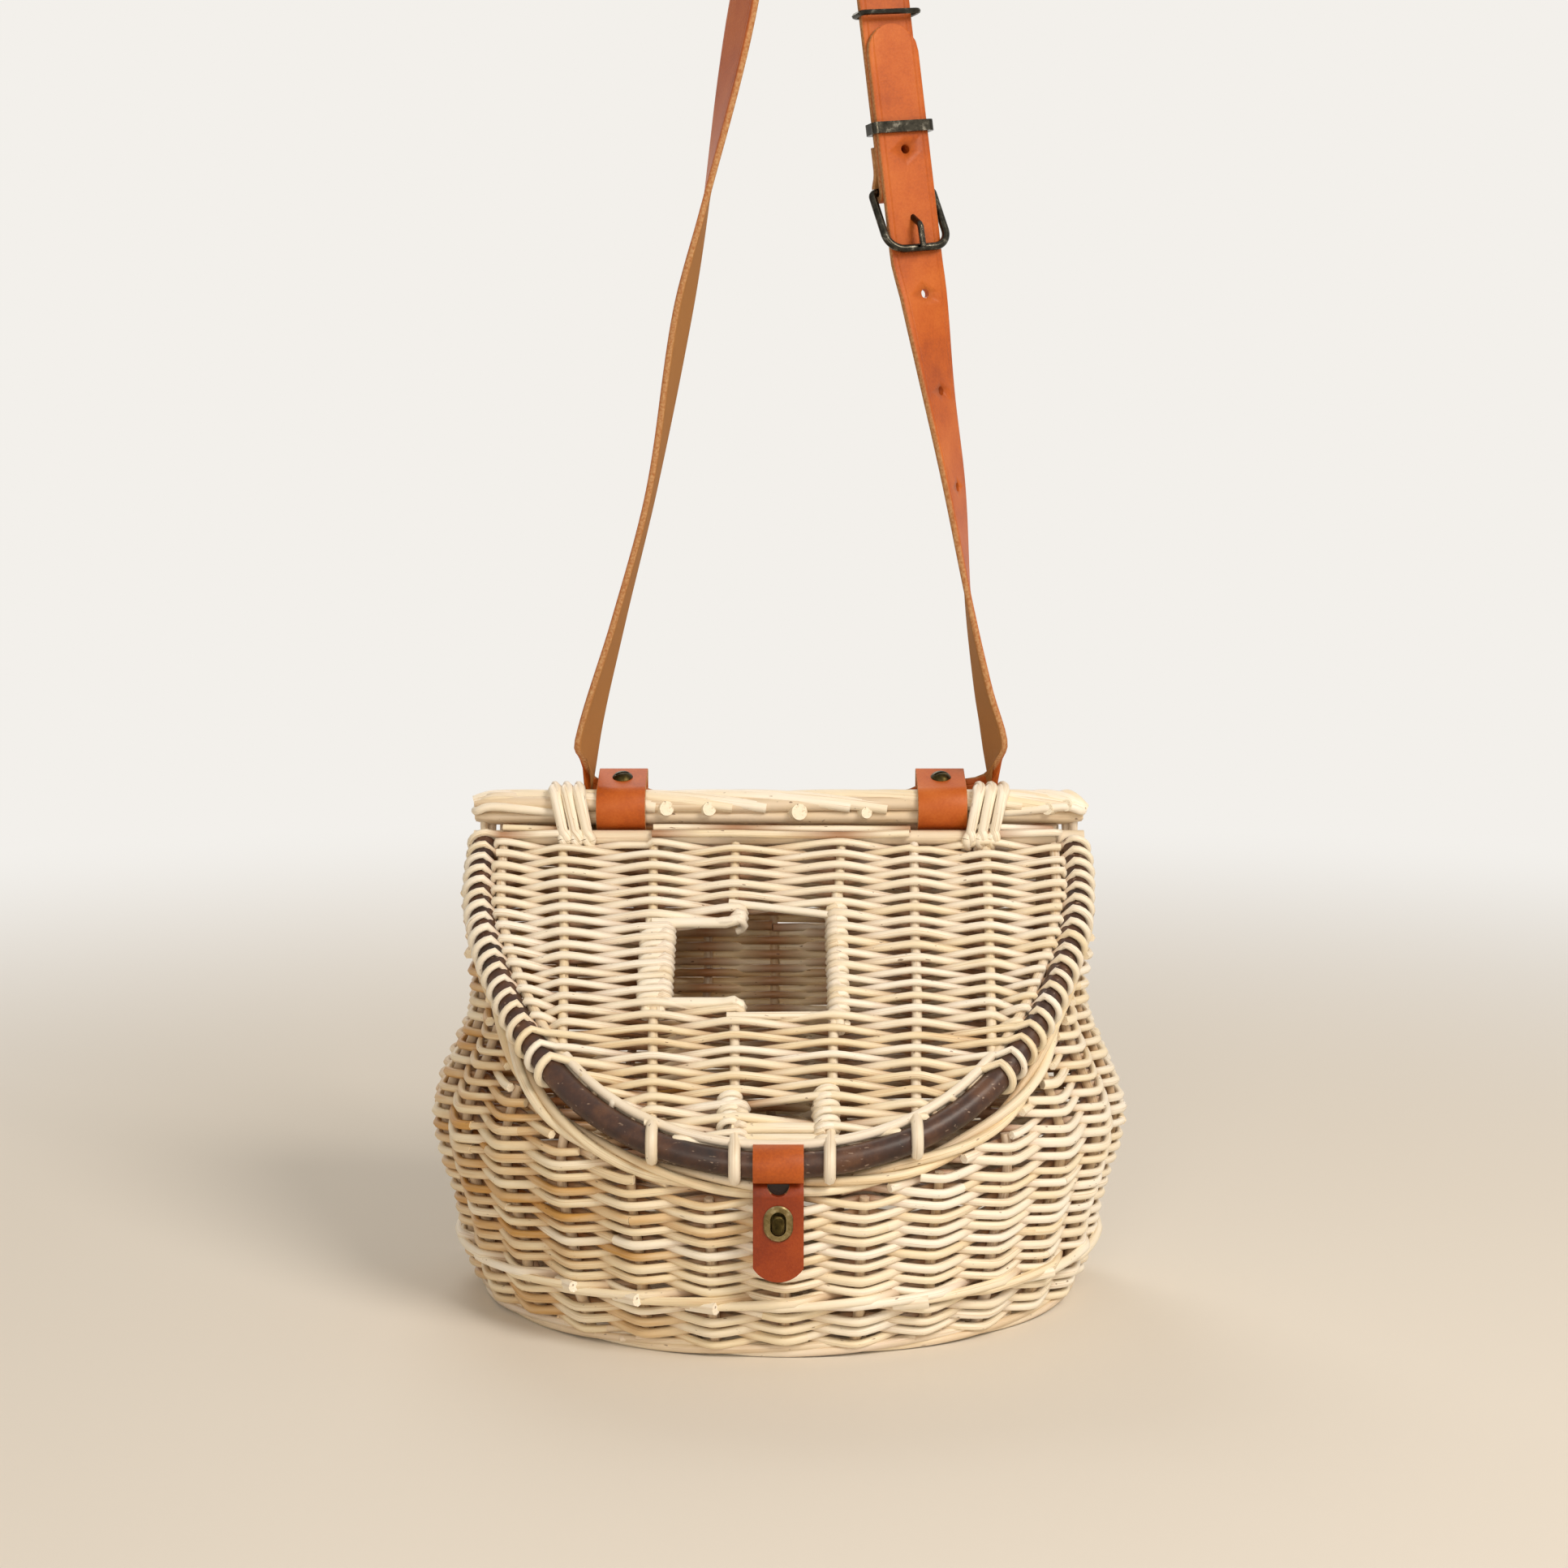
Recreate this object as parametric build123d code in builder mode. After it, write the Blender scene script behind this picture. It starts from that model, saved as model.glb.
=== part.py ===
# Wicker fishing creel: a pot-bellied split-willow basket with a sloping woven lid,
# hung from its leather shoulder strap.  Millimetres.
# x runs across the creel, the front faces -y, the wall it hangs on is at +y, z is up.
# Depths are given as distances out from the wall; body heights start at the ground.
from math import asin, atan2, cos, pi, radians, sin, tan
import os

from build123d import *

os.makedirs("parts", exist_ok=True)

# Body of the basket: heights, widths and reaches out from the wall, over the weave
base_width = 268.0
base_reach = 152.0
flare_height = 28.0
flare_width = 284.0
flare_reach = 161.0
belly_height = 80.0
belly_width = 304.0
belly_reach = 168.0
waist_height = 134.0
waist_width = 275.0
waist_reach = 165.0
collar_height = 173.0
collar_width = 286.0
collar_reach = 162.0
top_width = 282.0
top_reach = 160.0
back_gap = 8.0             # from the wall to the back of the weave
back_corner = 26.0         # radius of the two back corners
front_start = 40.0         # where the straight sides end and the rounded front begins
wall = 10.0                # stakes with a weaver on each side
foot_height = 10.0         # rolled border that the basket stands on
foot_width = 11.0
foot_top_round = 3.0
foot_low_round = 2.0
wale_height = 18.0         # band of thicker weaving above the foot
wale_extra = 1.0
base_thickness = 7.0
base_round = 2.0
base_lift = 1.5            # the woven base clears the ground by this much
seat = 0.15                # clearance between pieces that seat on each other
rest_gap = 0.4             # clearance between pieces that part when something moves

# Back border: the thick rolled edge along the top of the back
border_diameter = 17.0
border_height = 210.5
border_out = 17.2
border_end_round = 6.8

# Lid, measured along its slope from the hinge rod
hinge_out = 27.0
hinge_height = 198.0
lid_slope = 38.9
bow_diameter = 10.7
rod_diameter = 7.0
rod_chamfer = 1.0
rim_diameter = 9.0
bow_front_overhang = 4.0
lid_width = 278.0
panel_thickness = 8.0
stick_diameter = 4.6
outer_sticks = (-93.0, -19.0, 59.5, 92.0)
hole_left = -46.7          # the hole has a wide part and, right of its step, a deeper one
hole_step = -21.5
hole_right = 22.0
hole_top = 43.0
hole_bottom = 103.0
hole_wide_top = 55.0
hole_wide_bottom = 95.0
hole_corner = 3.0
binding_diameter = 7.6
binding_pair = 6.0         # the left binding holds two sticks, this far apart
binding_overrun = 9.0

# Willow loops that the lid's rod turns in, three on each side
loop_diameter = 3.0
loop_sides = 8
loop_count = 3
loop_pitch = 5.4
left_loops_x = -93.2
right_loops_x = 93.2
running_gap = 0.3
notch_depth = 13.0
notch_margin = 3.0

# Leather tabs round the back border, which hold the strap behind it
tab_width = 22.4
tab_leather = 2.0
left_tab_x = -72.0
right_tab_x = 74.5
tab_top = 226.8
tab_screw_out = 10.4
screw_head = 9.4
screw_head_height = 2.3
screw_shoulder = 0.64      # the dome turns over at this share of its width
screw_shoulder_height = 0.72
screw_post = 3.6
screw_slot = 1.1
screw_slot_depth = 1.0
screw_slot_turn = 20.0
screw_cap = 6.0
screw_cap_height = 1.0

# Latch: a leather tongue that hangs from the bow, over a turn button
tongue_width = 20.4
tongue_leather = 2.6
tongue_bottom = 39.0
tongue_tip = 5.8           # height of the rounded lower end
tongue_hole = 9.0
tongue_hole_height = 78.4
tongue_bend = 4.4
flap_angle = 42.0          # the loop's outer end stops this far below the bow's front
button_height = 63.0
eyelet_width = 11.8
eyelet_height = 14.8
eyelet_thickness = 0.9
eyelet_bevel = 0.54
eyelet_barrel = 0.7
eyelet_washer = 0.5
eyelet_washer_less = 1.0
slot_width = 6.4
slot_height = 9.8
lock_plate_width = 14.0
lock_plate_height = 17.0
lock_plate_thickness = 1.5
lock_plate_bevel = 0.45
lock_stem = 6.0
lock_stem_length = 14.0
lock_slack = 2.6           # the weave falls away behind the flat plate
button_fit = 0.05
button_post = 3.0
button_width = 5.0
button_length = 8.0
button_thickness = 2.2
button_round = 0.9

# Shoulder strap
strap_width = 25.4
strap_leather = 3.0
strap_out = 14.6           # middle of the strap, out from the wall
strap_behind_height = 209.6
peg_radius = 12.0
peg_x = 20.0
peg_height = 691.0
left_lean = 10.8
left_strap_x = -88.6
right_strap_x = 99.6
corner_rise = 33.0         # by here the strap is free of the tab and turned to the front
corner_share = 0.75        # where it begins to turn up, as a share of its way sideways
corner_lift = 3.0
corner_out = 0.7
corner_middle_out = 6.1
corner_middle_rise = 12.5
strap_hole = 4.2

# Buckle and keepers, on the straight part of the right-hand strap
buckle_x = 59.9
buckle_out = 18.5
buckle_drop = 213.3        # middle of the buckle below the peg
strap_lean = 6.9           # the straight part leans this far towards the peg
strap_turn = 24.0          # and its left edge is turned this far towards the front
buckle_wire = 3.6
buckle_length = 27.0
buckle_corner = 8.0
heel_corner = 2.6
layer_gap = 0.3
buckle_side_gap = 0.8
front_bar_gap = 1.3        # over the strap, so that the rounded corners clear its edges
fold_length = 20.0
fold_slot = 4.4
fold_slot_length = 12.8
prong_wire = 2.8
prong_eye = 2.0            # thickness of the eye round the heel bar
prong_fold = 1.2
prong_reach = 3.6
prong_dip = 0.4
prong_bend = 3.0
prong_slot = 10.0
prong_play = 1.0
prong_fit = 0.06
prong_lift = 0.1           # over the front bar, which it rests on
keeper_wire = 2.6
keeper_band = 5.0
keeper_band_thickness = 2.2
keeper_corner = 0.9        # inside corners, close round the square-edged strap
keeper_gap = 0.4
keeper_sides = 8
lower_keeper_up = 41.0     # distance up the strap from the middle of the buckle
upper_keeper_up = 92.0
tip_up = 87.0
upper_hole_up = 31.0
straight_top_up = 103.0
straight_bottom_up = -20.0
rivet_head = 8.0
rivet_head_height = 1.6
rivet_post = 3.4
rivet_apart = 12.0
rivet_up = 28.5
rivet_press = 0.02         # their ends stand this much proud of the layer they hold

# Middle of the strap where it twists: its share of the way, its distance beside the straight
# line between the two ends and the way its front edge looks, 90 straight out of the wall
above_keepers = [(0.285, -1.5, 143.0), (0.578, -1.0, 117.0), (0.817, -0.7, 95.0)]
left_side = [
    (0.048, 0.8, 82.0), (0.246, 2.3, 62.0), (0.326, 3.0, 66.0), (0.474, 3.8, 90.0),
    (0.574, 3.6, 102.0), (0.749, 5.9, 92.0), (0.881, 3.1, 96.0),
]
right_side = [(0.102, -1.3, 80.0), (0.284, -1.5, 92.0)]
right_holes = [(0.531, 0.5, 112.0), (0.733, 0.2, 125.0), (0.936, 0.6, 147.0)]

# Worked out from the above
bow_radius = bow_diameter / 2
rod_radius = rod_diameter / 2
rim_radius = rim_diameter / 2
border_radius = border_diameter / 2
slope = radians(lid_slope)
wall_top = border_height - border_radius - seat
lid_drop = bow_radius + rest_gap + rim_diameter + seat
buckle_height = peg_height - buckle_drop

levels = [
    (0.0, base_width / 2, base_reach),
    (flare_height, flare_width / 2, flare_reach),
    (belly_height, belly_width / 2, belly_reach),
    (waist_height, waist_width / 2, waist_reach),
    (collar_height, collar_width / 2, collar_reach),
    (border_height, top_width / 2, top_reach),
]


def body_size(height):
    """Half width and reach of the body's outside at a height."""
    for low, high in zip(levels, levels[1:]):
        if height <= high[0] or high is levels[-1]:
            share = min(max((height - low[0]) / (high[0] - low[0]), 0.0), 1.0)
            ease = share * share * (3 - 2 * share)
            half = low[1] + (high[1] - low[1]) * ease
            return half, low[2] + (high[2] - low[2]) * ease


def mouth_point(angle, drop):
    """Where the body's outside meets a plane this far below the lid's middle plane.

    The angle runs round the front, 0 at the right side and 90 at the middle.
    The result is in the lid's plane, x across and y up the slope.
    """
    height = belly_height
    for _ in range(40):
        half, reach = body_size(height)
        out = front_start + (reach - front_start) * sin(radians(angle))
        fall = (out - hinge_out + drop * sin(slope)) / cos(slope)
        height = hinge_height - fall * sin(slope) - drop * cos(slope)
    return half * cos(radians(angle)), -fall


bow_fall = -mouth_point(90, 0)[1] - bow_radius + bow_front_overhang
bow_out = hinge_out + bow_fall * cos(slope)
bow_height = hinge_height - bow_fall * sin(slope)
tongue_middle = bow_out + tongue_bend
lock_out = body_size(button_height + lock_plate_height / 2)[1] + seat
flap_out = bow_out + bow_radius + rest_gap + tongue_leather
button_out = tongue_middle + tongue_leather / 2 + seat + eyelet_thickness
full_reach = max(flap_out, button_out + rest_gap + button_thickness)
wall_y = full_reach / 2

side_plane = Plane(origin=(0, wall_y, 0), x_dir=(0, -1, 0), z_dir=(-1, 0, 0))
lid_plane = Plane(
    origin=(0, wall_y - hinge_out, hinge_height),
    x_dir=(1, 0, 0),
    z_dir=(0, -sin(slope), cos(slope)),
)


front_plane = Plane(origin=(0, 0, 0), x_dir=(1, 0, 0), z_dir=(0, -1, 0))


def save(piece, name):
    piece.part.label = name
    export_step(piece.part, f"parts/{name}.step")


def level_plane(height):
    """Horizontal plane whose y counts back towards the wall, from the wall."""
    return Plane(origin=(0, wall_y, height))


def side_at(x):
    """Upright plane across x, with the distance from the wall as x and height as y."""
    return side_plane.offset(-x)


def rim_curve(drop, inset, start):
    """Open curve along the top of the wall: down one side, round the front, up the other."""
    points = []
    for angle in range(0, 181, 15):
        x, y = mouth_point(angle, drop)
        share = sin(radians(angle))
        points.append((x - inset * cos(radians(angle)), y + inset * share))
    right, left = points[0], points[-1]
    Line((right[0], -start), right)
    Spline(*points)
    Line(left, (left[0], -start))


def lid_curve(inset, start):
    """Outline of the lid in its own plane, brought in by the inset."""
    half = lid_width / 2 - inset
    length = bow_fall + bow_radius - inset - start
    shares = [(0.985, 0.22), (0.90, 0.45), (0.765, 0.66), (0.56, 0.85), (0.30, 0.963)]
    right = [(half * x, -start - length * y) for x, y in shares]
    left = [(-x, y) for x, y in reversed(right)]
    Spline((half, -start), *right, (0, -start - length), *left, (-half, -start))


def body_outline(half_width, reach, inset, mode=Mode.ADD):
    """D-shaped section: straight back, round back corners, elliptical front."""
    half = half_width - inset
    back = -(back_gap + inset)
    corner = back_corner - inset
    with BuildLine() as outline:
        Line((half - corner, back), (corner - half, back))
        RadiusArc((corner - half, back), (-half, back - corner), -corner)
        Line((-half, back - corner), (-half, -front_start))
        EllipticalCenterArc(
            (0, -front_start), half, reach - inset - front_start, 180, arc_size=180
        )
        Line((half, -front_start), (half, back - corner))
        RadiusArc((half, back - corner), (half - corner, back), -corner)
    make_face(outline.edges(), mode=mode)


def body_form(inset):
    """Solid of the whole body, its outside brought in by the inset."""
    with BuildPart() as form:
        for height, half_width, reach in levels:
            with BuildSketch(level_plane(height)):
                body_outline(half_width, reach, inset)
        loft()
    return form.part


def slab(low, high):
    """Everything between two heights, wider than the basket."""
    reach = belly_width + belly_reach
    with BuildPart() as block:
        with BuildSketch(Plane.XY.offset(low)):
            Rectangle(2 * reach, 2 * reach)
        extrude(amount=high - low)
    return block.part


# ---- What passes through the weave: loops, tabs and the lock ----

loop_top_radius = border_radius + seat + loop_diameter / 2
loop_low_radius = rod_radius + running_gap + loop_diameter / 2


def loops_hull(grow):
    """Oval round the border and the lid's rod, over the willow loops."""
    with BuildLine() as ends:
        CenterArc((border_out, border_height), loop_top_radius + grow, 0, 360)
        CenterArc((hinge_out, hinge_height), loop_low_radius + grow, 0, 360)
    make_hull(ends.edges())


strap_back = tab_leather + seat
tab_inner_low = strap_behind_height - strap_width / 2 - rest_gap
tab_inner_back = tab_leather
tab_drop = tab_top - tab_leather
tab_rise = tab_drop - border_height
tab_run = border_out - tab_inner_back
# The tab's top slopes down, touching the border's roundness
tab_tilt = atan2(tab_rise, tab_run) - asin(
    (border_radius + seat) / (tab_rise ** 2 + tab_run ** 2) ** 0.5
)


def tab_space(grow):
    """Inside of the tab's loop: round the border and the strap behind it."""
    with BuildLine() as edges:
        CenterArc((border_out, border_height), border_radius + seat, 0, 360)
        Polyline(
            (tab_inner_back, tab_inner_low),
            (tab_inner_back + strap_leather, tab_inner_low),
            (tab_inner_back + 1, tab_drop - 1),
            (tab_inner_back, tab_drop),
            close=True,
        )
    make_hull(edges.edges())
    if grow:
        offset(amount=grow)


def eyelet_plane(out):
    return Plane(origin=(0, wall_y - out, button_height), x_dir=(1, 0, 0), z_dir=(0, -1, 0))


def tongue_band(thickness):
    """Side view of the latch's leather: round the bow, forward under it and down."""
    radius = bow_radius + rest_gap + tongue_leather / 2
    under = bow_height - radius
    with BuildLine() as path:
        CenterArc((bow_out, bow_height), radius, -flap_angle, 270 + flap_angle)
        bend = CenterArc((bow_out, under - tongue_bend), tongue_bend, 90, -90)
        Line(bend @ 1, (tongue_middle, tongue_bottom))
    trace(path.edges(), line_width=thickness)


# ---- Basket body ----

def make_foot_border():
    outer_half, outer_reach = body_size(foot_height)
    with BuildPart() as foot:
        with BuildSketch(level_plane(0)):
            body_outline(outer_half, outer_reach, 0)
            body_outline(outer_half, outer_reach, foot_width, mode=Mode.SUBTRACT)
        extrude(amount=foot_height)
        fillet(foot.faces().group_by(Axis.Z)[-1].edges(), foot_top_round)
        fillet(foot.faces().group_by(Axis.Z)[0].edges(), foot_low_round)
    save(foot, "foot_border")


def make_base_panel():
    outer_half, outer_reach = body_size(foot_height)
    with BuildPart() as base:
        with BuildSketch(level_plane(base_lift)):
            body_outline(outer_half, outer_reach, foot_width + seat)
        extrude(amount=base_thickness)
        fillet(base.faces().sort_by(Axis.Z)[-1].edges(), base_round)
    save(base, "base_panel")


def make_lower_wale():
    with BuildPart() as wale:
        add(body_form(-wale_extra))
        add(body_form(wall), mode=Mode.SUBTRACT)
        add(slab(foot_height + seat, foot_height + wale_height), mode=Mode.INTERSECT)
    save(wale, "lower_wale")


def make_side_wall():
    back_face = back_gap + wall + seat
    far = belly_reach + wall
    high = border_height + wall
    cut_start = (back_face - hinge_out + lid_drop * sin(slope)) / cos(slope)
    cut_end = (far - hinge_out + lid_drop * sin(slope)) / cos(slope)
    start_height = hinge_height - cut_start * sin(slope) - lid_drop * cos(slope)
    end_height = hinge_height - cut_end * sin(slope) - lid_drop * cos(slope)
    with BuildPart() as side:
        add(body_form(0))
        add(body_form(wall), mode=Mode.SUBTRACT)
        add(slab(foot_height + wale_height + seat, wall_top), mode=Mode.INTERSECT)
        with BuildSketch(side_plane):
            with BuildLine():
                Polyline(
                    (back_face, start_height),
                    (far, end_height),
                    (far, high),
                    (back_face, high),
                    close=True,
                )
            make_face()
        extrude(amount=belly_width, both=True, mode=Mode.SUBTRACT)
        loops_half = (loop_count - 1) / 2 * loop_pitch + loop_diameter / 2 + running_gap
        for x in (left_loops_x, right_loops_x):
            with BuildSketch(side_at(x)) as loops_slot:
                loops_hull(loop_diameter / 2 + running_gap)
            extrude(loops_slot.sketch, amount=loops_half, both=True, mode=Mode.SUBTRACT)
        for x in (left_tab_x, right_tab_x):
            with BuildSketch(side_at(x)) as tab_slot:
                tab_space(tab_leather + running_gap)
            extrude(
                tab_slot.sketch, amount=tab_width / 2 + running_gap, both=True,
                mode=Mode.SUBTRACT,
            )
        with BuildSketch(eyelet_plane(full_reach)):
            Circle(lock_stem / 2 + seat)
        extrude(amount=-(full_reach - front_start), mode=Mode.SUBTRACT)
    save(side, "side_wall")


def make_rim_border():
    drop = bow_radius + rest_gap + rim_radius
    start = (back_gap + wall + seat - hinge_out + drop * sin(slope)) / cos(slope)
    start = start + rim_radius * sin(slope) / cos(slope) + rest_gap
    with BuildPart() as rim:
        with BuildLine(lid_plane.offset(-drop)) as path:
            rim_curve(drop, wall / 2, start)
        with BuildSketch(Plane(origin=path.line @ 0, z_dir=path.line % 0)):
            Circle(rim_radius)
        sweep()
        with BuildSketch(side_plane):
            tongue_band(tongue_leather + 2 * rest_gap)
        extrude(amount=tongue_width / 2 + rest_gap, both=True, mode=Mode.SUBTRACT)
    save(rim, "rim_border")


def make_back_border():
    half = top_width / 2
    with BuildPart() as border:
        with BuildSketch(side_at(0)):
            with Locations((border_out, border_height)):
                Circle(border_radius)
        extrude(amount=half, both=True)
        fillet(border.faces().filter_by(Axis.X).edges(), border_end_round)
    save(border, "back_border")


# ---- Lid ----

def make_lid_bow():
    with BuildPart() as bow:
        with BuildLine(lid_plane) as path:
            lid_curve(bow_radius, rod_radius + seat)
        with BuildSketch(Plane(origin=path.line @ 0, z_dir=path.line % 0)):
            Circle(bow_radius)
        sweep()
        with BuildSketch(side_plane):
            with Locations((hinge_out, hinge_height)):
                Circle(rod_radius + seat)
        extrude(amount=lid_width, both=True, mode=Mode.SUBTRACT)
    save(bow, "lid_bow")


def make_lid_back_rod():
    with BuildPart() as rod:
        with BuildSketch(side_at(0)):
            with Locations((hinge_out, hinge_height)):
                Circle(rod_radius)
        extrude(amount=lid_width / 2, both=True)
        chamfer(rod.faces().filter_by(Axis.X).edges(), rod_chamfer)
    save(rod, "lid_back_rod")


def lid_inside(gap):
    """Sketch of the lid's area inside the bow, below the back rod."""
    start = rod_radius + seat
    with BuildLine() as outline:
        lid_curve(bow_diameter + gap, start)
        edge = lid_width / 2 - bow_diameter - gap
        Line((-edge, -start), (edge, -start))
    make_face(outline.edges())


def left_binding():
    """Places of the two sticks that are bound together."""
    inner = hole_left - binding_diameter / 2
    return inner - binding_pair, inner


def right_binding():
    return hole_right + binding_diameter / 2


def notch_half_width():
    return (loop_count - 1) / 2 * loop_pitch + loop_diameter / 2 + notch_margin


def lid_notches():
    """Gaps beside the rod, where the willow loops turn, and behind the latch's wrap."""
    for x in (left_loops_x, right_loops_x):
        with Locations((x, 0)):
            Rectangle(2 * notch_half_width(), 2 * notch_depth, mode=Mode.SUBTRACT)
    wrap = bow_radius + 2 * rest_gap + tongue_leather
    with Locations((0, -bow_fall)):
        Rectangle(tongue_width + 4 * rest_gap, 2 * wrap, mode=Mode.SUBTRACT)


def cut_hole(extra, corner=0.0):
    """The lid's hole: the deeper part, and the wide part that runs into it."""
    parts = (
        (hole_step, hole_right, hole_top, hole_bottom),
        (hole_left, hole_step + 2 * hole_corner, hole_wide_top, hole_wide_bottom),
    )
    for left, right, top, bottom in parts:
        with Locations(((left + right) / 2, -(top + bottom) / 2)):
            if corner:
                RectangleRounded(right - left, bottom - top, corner, mode=Mode.SUBTRACT)
            else:
                Rectangle(right - left, bottom - top + 2 * extra, mode=Mode.SUBTRACT)


def stick_solids(extra, shorten):
    """Warp sticks of the lid, from the back rod to the bow."""
    with BuildPart() as sticks:
        with BuildSketch(lid_plane.rotated((90, 0, 0))):
            with Locations([(x, 0) for x in outer_sticks + left_binding() + (right_binding(),)]):
                Circle(stick_diameter / 2 + extra)
        extrude(amount=belly_reach * 2)
        with BuildSketch(lid_plane.offset(-panel_thickness)):
            lid_inside(shorten)
            lid_notches()
            cut_hole(shorten)
        extrude(amount=2 * panel_thickness, mode=Mode.INTERSECT)
    return sticks


def make_lid_sticks():
    save(stick_solids(0, seat), "lid_sticks")


def binding_solid(sticks, top, bottom, extra, bore):
    """Willow wound tightly round one stick or a pair, along one side of the hole."""
    start = top - binding_overrun - extra
    middle = (sticks[0] + sticks[-1]) / 2
    wide = sticks[-1] - sticks[0] + binding_diameter + 2 * extra
    with BuildPart() as binding:
        with BuildSketch(lid_plane.rotated((90, 0, 0)).offset(start)):
            with Locations((middle, 0)):
                RectangleRounded(
                    wide, binding_diameter + 2 * extra, binding_diameter / 2 + extra - seat
                )
            if bore:
                with Locations([(x, 0) for x in sticks]):
                    Circle(bore, mode=Mode.SUBTRACT)
        extrude(amount=bottom - top + 2 * (binding_overrun + extra))
    return binding.part


def binding_solids(extra, bore):
    with BuildPart() as bindings:
        add(binding_solid(left_binding(), hole_wide_top, hole_wide_bottom, extra, bore))
        add(binding_solid((right_binding(),), hole_top, hole_bottom, extra, bore))
    return bindings


def make_hole_bindings():
    save(binding_solids(0, stick_diameter / 2 + seat), "hole_bindings")


def make_lid_weave():
    with BuildPart() as weave:
        with BuildSketch(lid_plane.offset(-panel_thickness / 2)):
            lid_inside(seat)
            lid_notches()
            cut_hole(0, hole_corner)
        extrude(amount=panel_thickness)
        add(stick_solids(seat, -seat).part, mode=Mode.SUBTRACT)
        add(binding_solids(seat, 0).part, mode=Mode.SUBTRACT)
    save(weave, "lid_weave")


# ---- Hinge loops ----

def make_hinge_loops(x, name):
    """Willow loops, each a tight oval round the border and the lid's rod."""
    across = atan2(border_height - hinge_height, border_out - hinge_out)
    apart = ((border_height - hinge_height) ** 2 + (border_out - hinge_out) ** 2) ** 0.5
    spread = asin((loop_top_radius - loop_low_radius) / apart)
    turn = across - pi / 2 - spread
    other = across + pi / 2 + spread
    low = [
        (hinge_out + loop_low_radius * cos(a), hinge_height + loop_low_radius * sin(a))
        for a in (turn, across + pi, other)
    ]
    high = [
        (border_out + loop_top_radius * cos(a), border_height + loop_top_radius * sin(a))
        for a in (other, across, turn)
    ]
    with BuildPart() as loops:
        for i in range(loop_count):
            place = x + (i - (loop_count - 1) / 2) * loop_pitch
            with BuildLine(side_at(place)) as path:
                Line(high[2], low[0])
                ThreePointArc(low[0], low[1], low[2])
                Line(low[2], high[0])
                ThreePointArc(high[0], high[1], high[2])
            with BuildSketch(Plane(origin=path.line @ 0, z_dir=path.line % 0)):
                RegularPolygon(loop_diameter / 2, loop_sides)
            sweep(path=path.line)
    save(loops, name)


# ---- Leather tabs and their screws ----

def screw_axis(x):
    """Plane on the tab's sloping top, facing out along the screw."""
    height = tab_drop - (tab_screw_out - tab_inner_back) * tan(tab_tilt)
    return Plane(
        origin=(x, wall_y - tab_screw_out, height),
        x_dir=(1, 0, 0),
        z_dir=(0, -sin(tab_tilt), cos(tab_tilt)),
    )


def make_strap_loop(x, name):
    """Leather tab wrapped round the border and the strap, closed by its screw."""
    top = screw_axis(x)
    with BuildPart() as tab:
        with BuildSketch(side_at(x)):
            tab_space(tab_leather)
        extrude(amount=tab_width / 2, both=True)
        with BuildSketch(side_at(x)):
            tab_space(0)
        extrude(amount=tab_width, both=True, mode=Mode.SUBTRACT)
        with BuildSketch(top.offset(-tab_leather)):
            Circle(screw_post / 2 + seat)
        extrude(amount=5 * tab_leather, mode=Mode.SUBTRACT)
    save(tab, name)


def make_loop_screw(x, name):
    """Slotted dome screw: head outside, post through both layers, cap inside."""
    top = screw_axis(x)
    profile = Plane(origin=top.origin, x_dir=top.x_dir, z_dir=-top.y_dir)
    head_base = tab_leather + seat
    cap_top = -seat
    with BuildPart() as screw:
        with BuildSketch(profile):
            with BuildLine():
                Polyline(
                    (screw_head / 2, head_base),
                    (screw_post / 2, head_base),
                    (screw_post / 2, cap_top),
                    (screw_cap / 2, cap_top),
                    (screw_cap / 2, cap_top - screw_cap_height),
                    (0, cap_top - screw_cap_height),
                    (0, head_base + screw_head_height),
                )
                ThreePointArc(
                    (0, head_base + screw_head_height),
                    (
                        screw_head / 2 * screw_shoulder,
                        head_base + screw_head_height * screw_shoulder_height,
                    ),
                    (screw_head / 2, head_base),
                )
            make_face()
        revolve(axis=Axis(top.origin, top.z_dir))
        with BuildSketch(top.offset(head_base + screw_head_height - screw_slot_depth)):
            Rectangle(screw_head + 2 * seat, screw_slot, rotation=screw_slot_turn)
        extrude(amount=screw_head_height, mode=Mode.SUBTRACT)
    save(screw, name)


# ---- Latch ----

def make_latch_tongue():
    """Leather strip: over the bow from the front, round behind it and down."""
    with BuildPart() as tongue:
        with BuildSketch(side_plane):
            tongue_band(tongue_leather)
        extrude(amount=tongue_width / 2, both=True)
        with BuildSketch(front_plane):
            with BuildLine():
                Polyline(
                    (-tongue_width / 2, tongue_bottom + tongue_tip),
                    (-tongue_width / 2, border_height),
                    (tongue_width / 2, border_height),
                    (tongue_width / 2, tongue_bottom + tongue_tip),
                )
                ThreePointArc(
                    (tongue_width / 2, tongue_bottom + tongue_tip),
                    (0, tongue_bottom),
                    (-tongue_width / 2, tongue_bottom + tongue_tip),
                )
            make_face()
        extrude(amount=belly_width, both=True, mode=Mode.INTERSECT)
        with BuildSketch(front_plane):
            with Locations((0, tongue_hole_height)):
                Circle(tongue_hole / 2)
                with Locations((0, tongue_hole / 2)):
                    Rectangle(tongue_hole, tongue_hole, mode=Mode.SUBTRACT)
        extrude(amount=full_reach, both=True, mode=Mode.SUBTRACT)
        with BuildSketch(front_plane):
            with Locations((0, button_height)):
                SlotOverall(
                    slot_height + 2 * (eyelet_barrel + seat),
                    slot_width + 2 * (eyelet_barrel + seat),
                    rotation=90,
                )
        extrude(amount=full_reach, both=True, mode=Mode.SUBTRACT)
    save(tongue, "latch_tongue")


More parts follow.
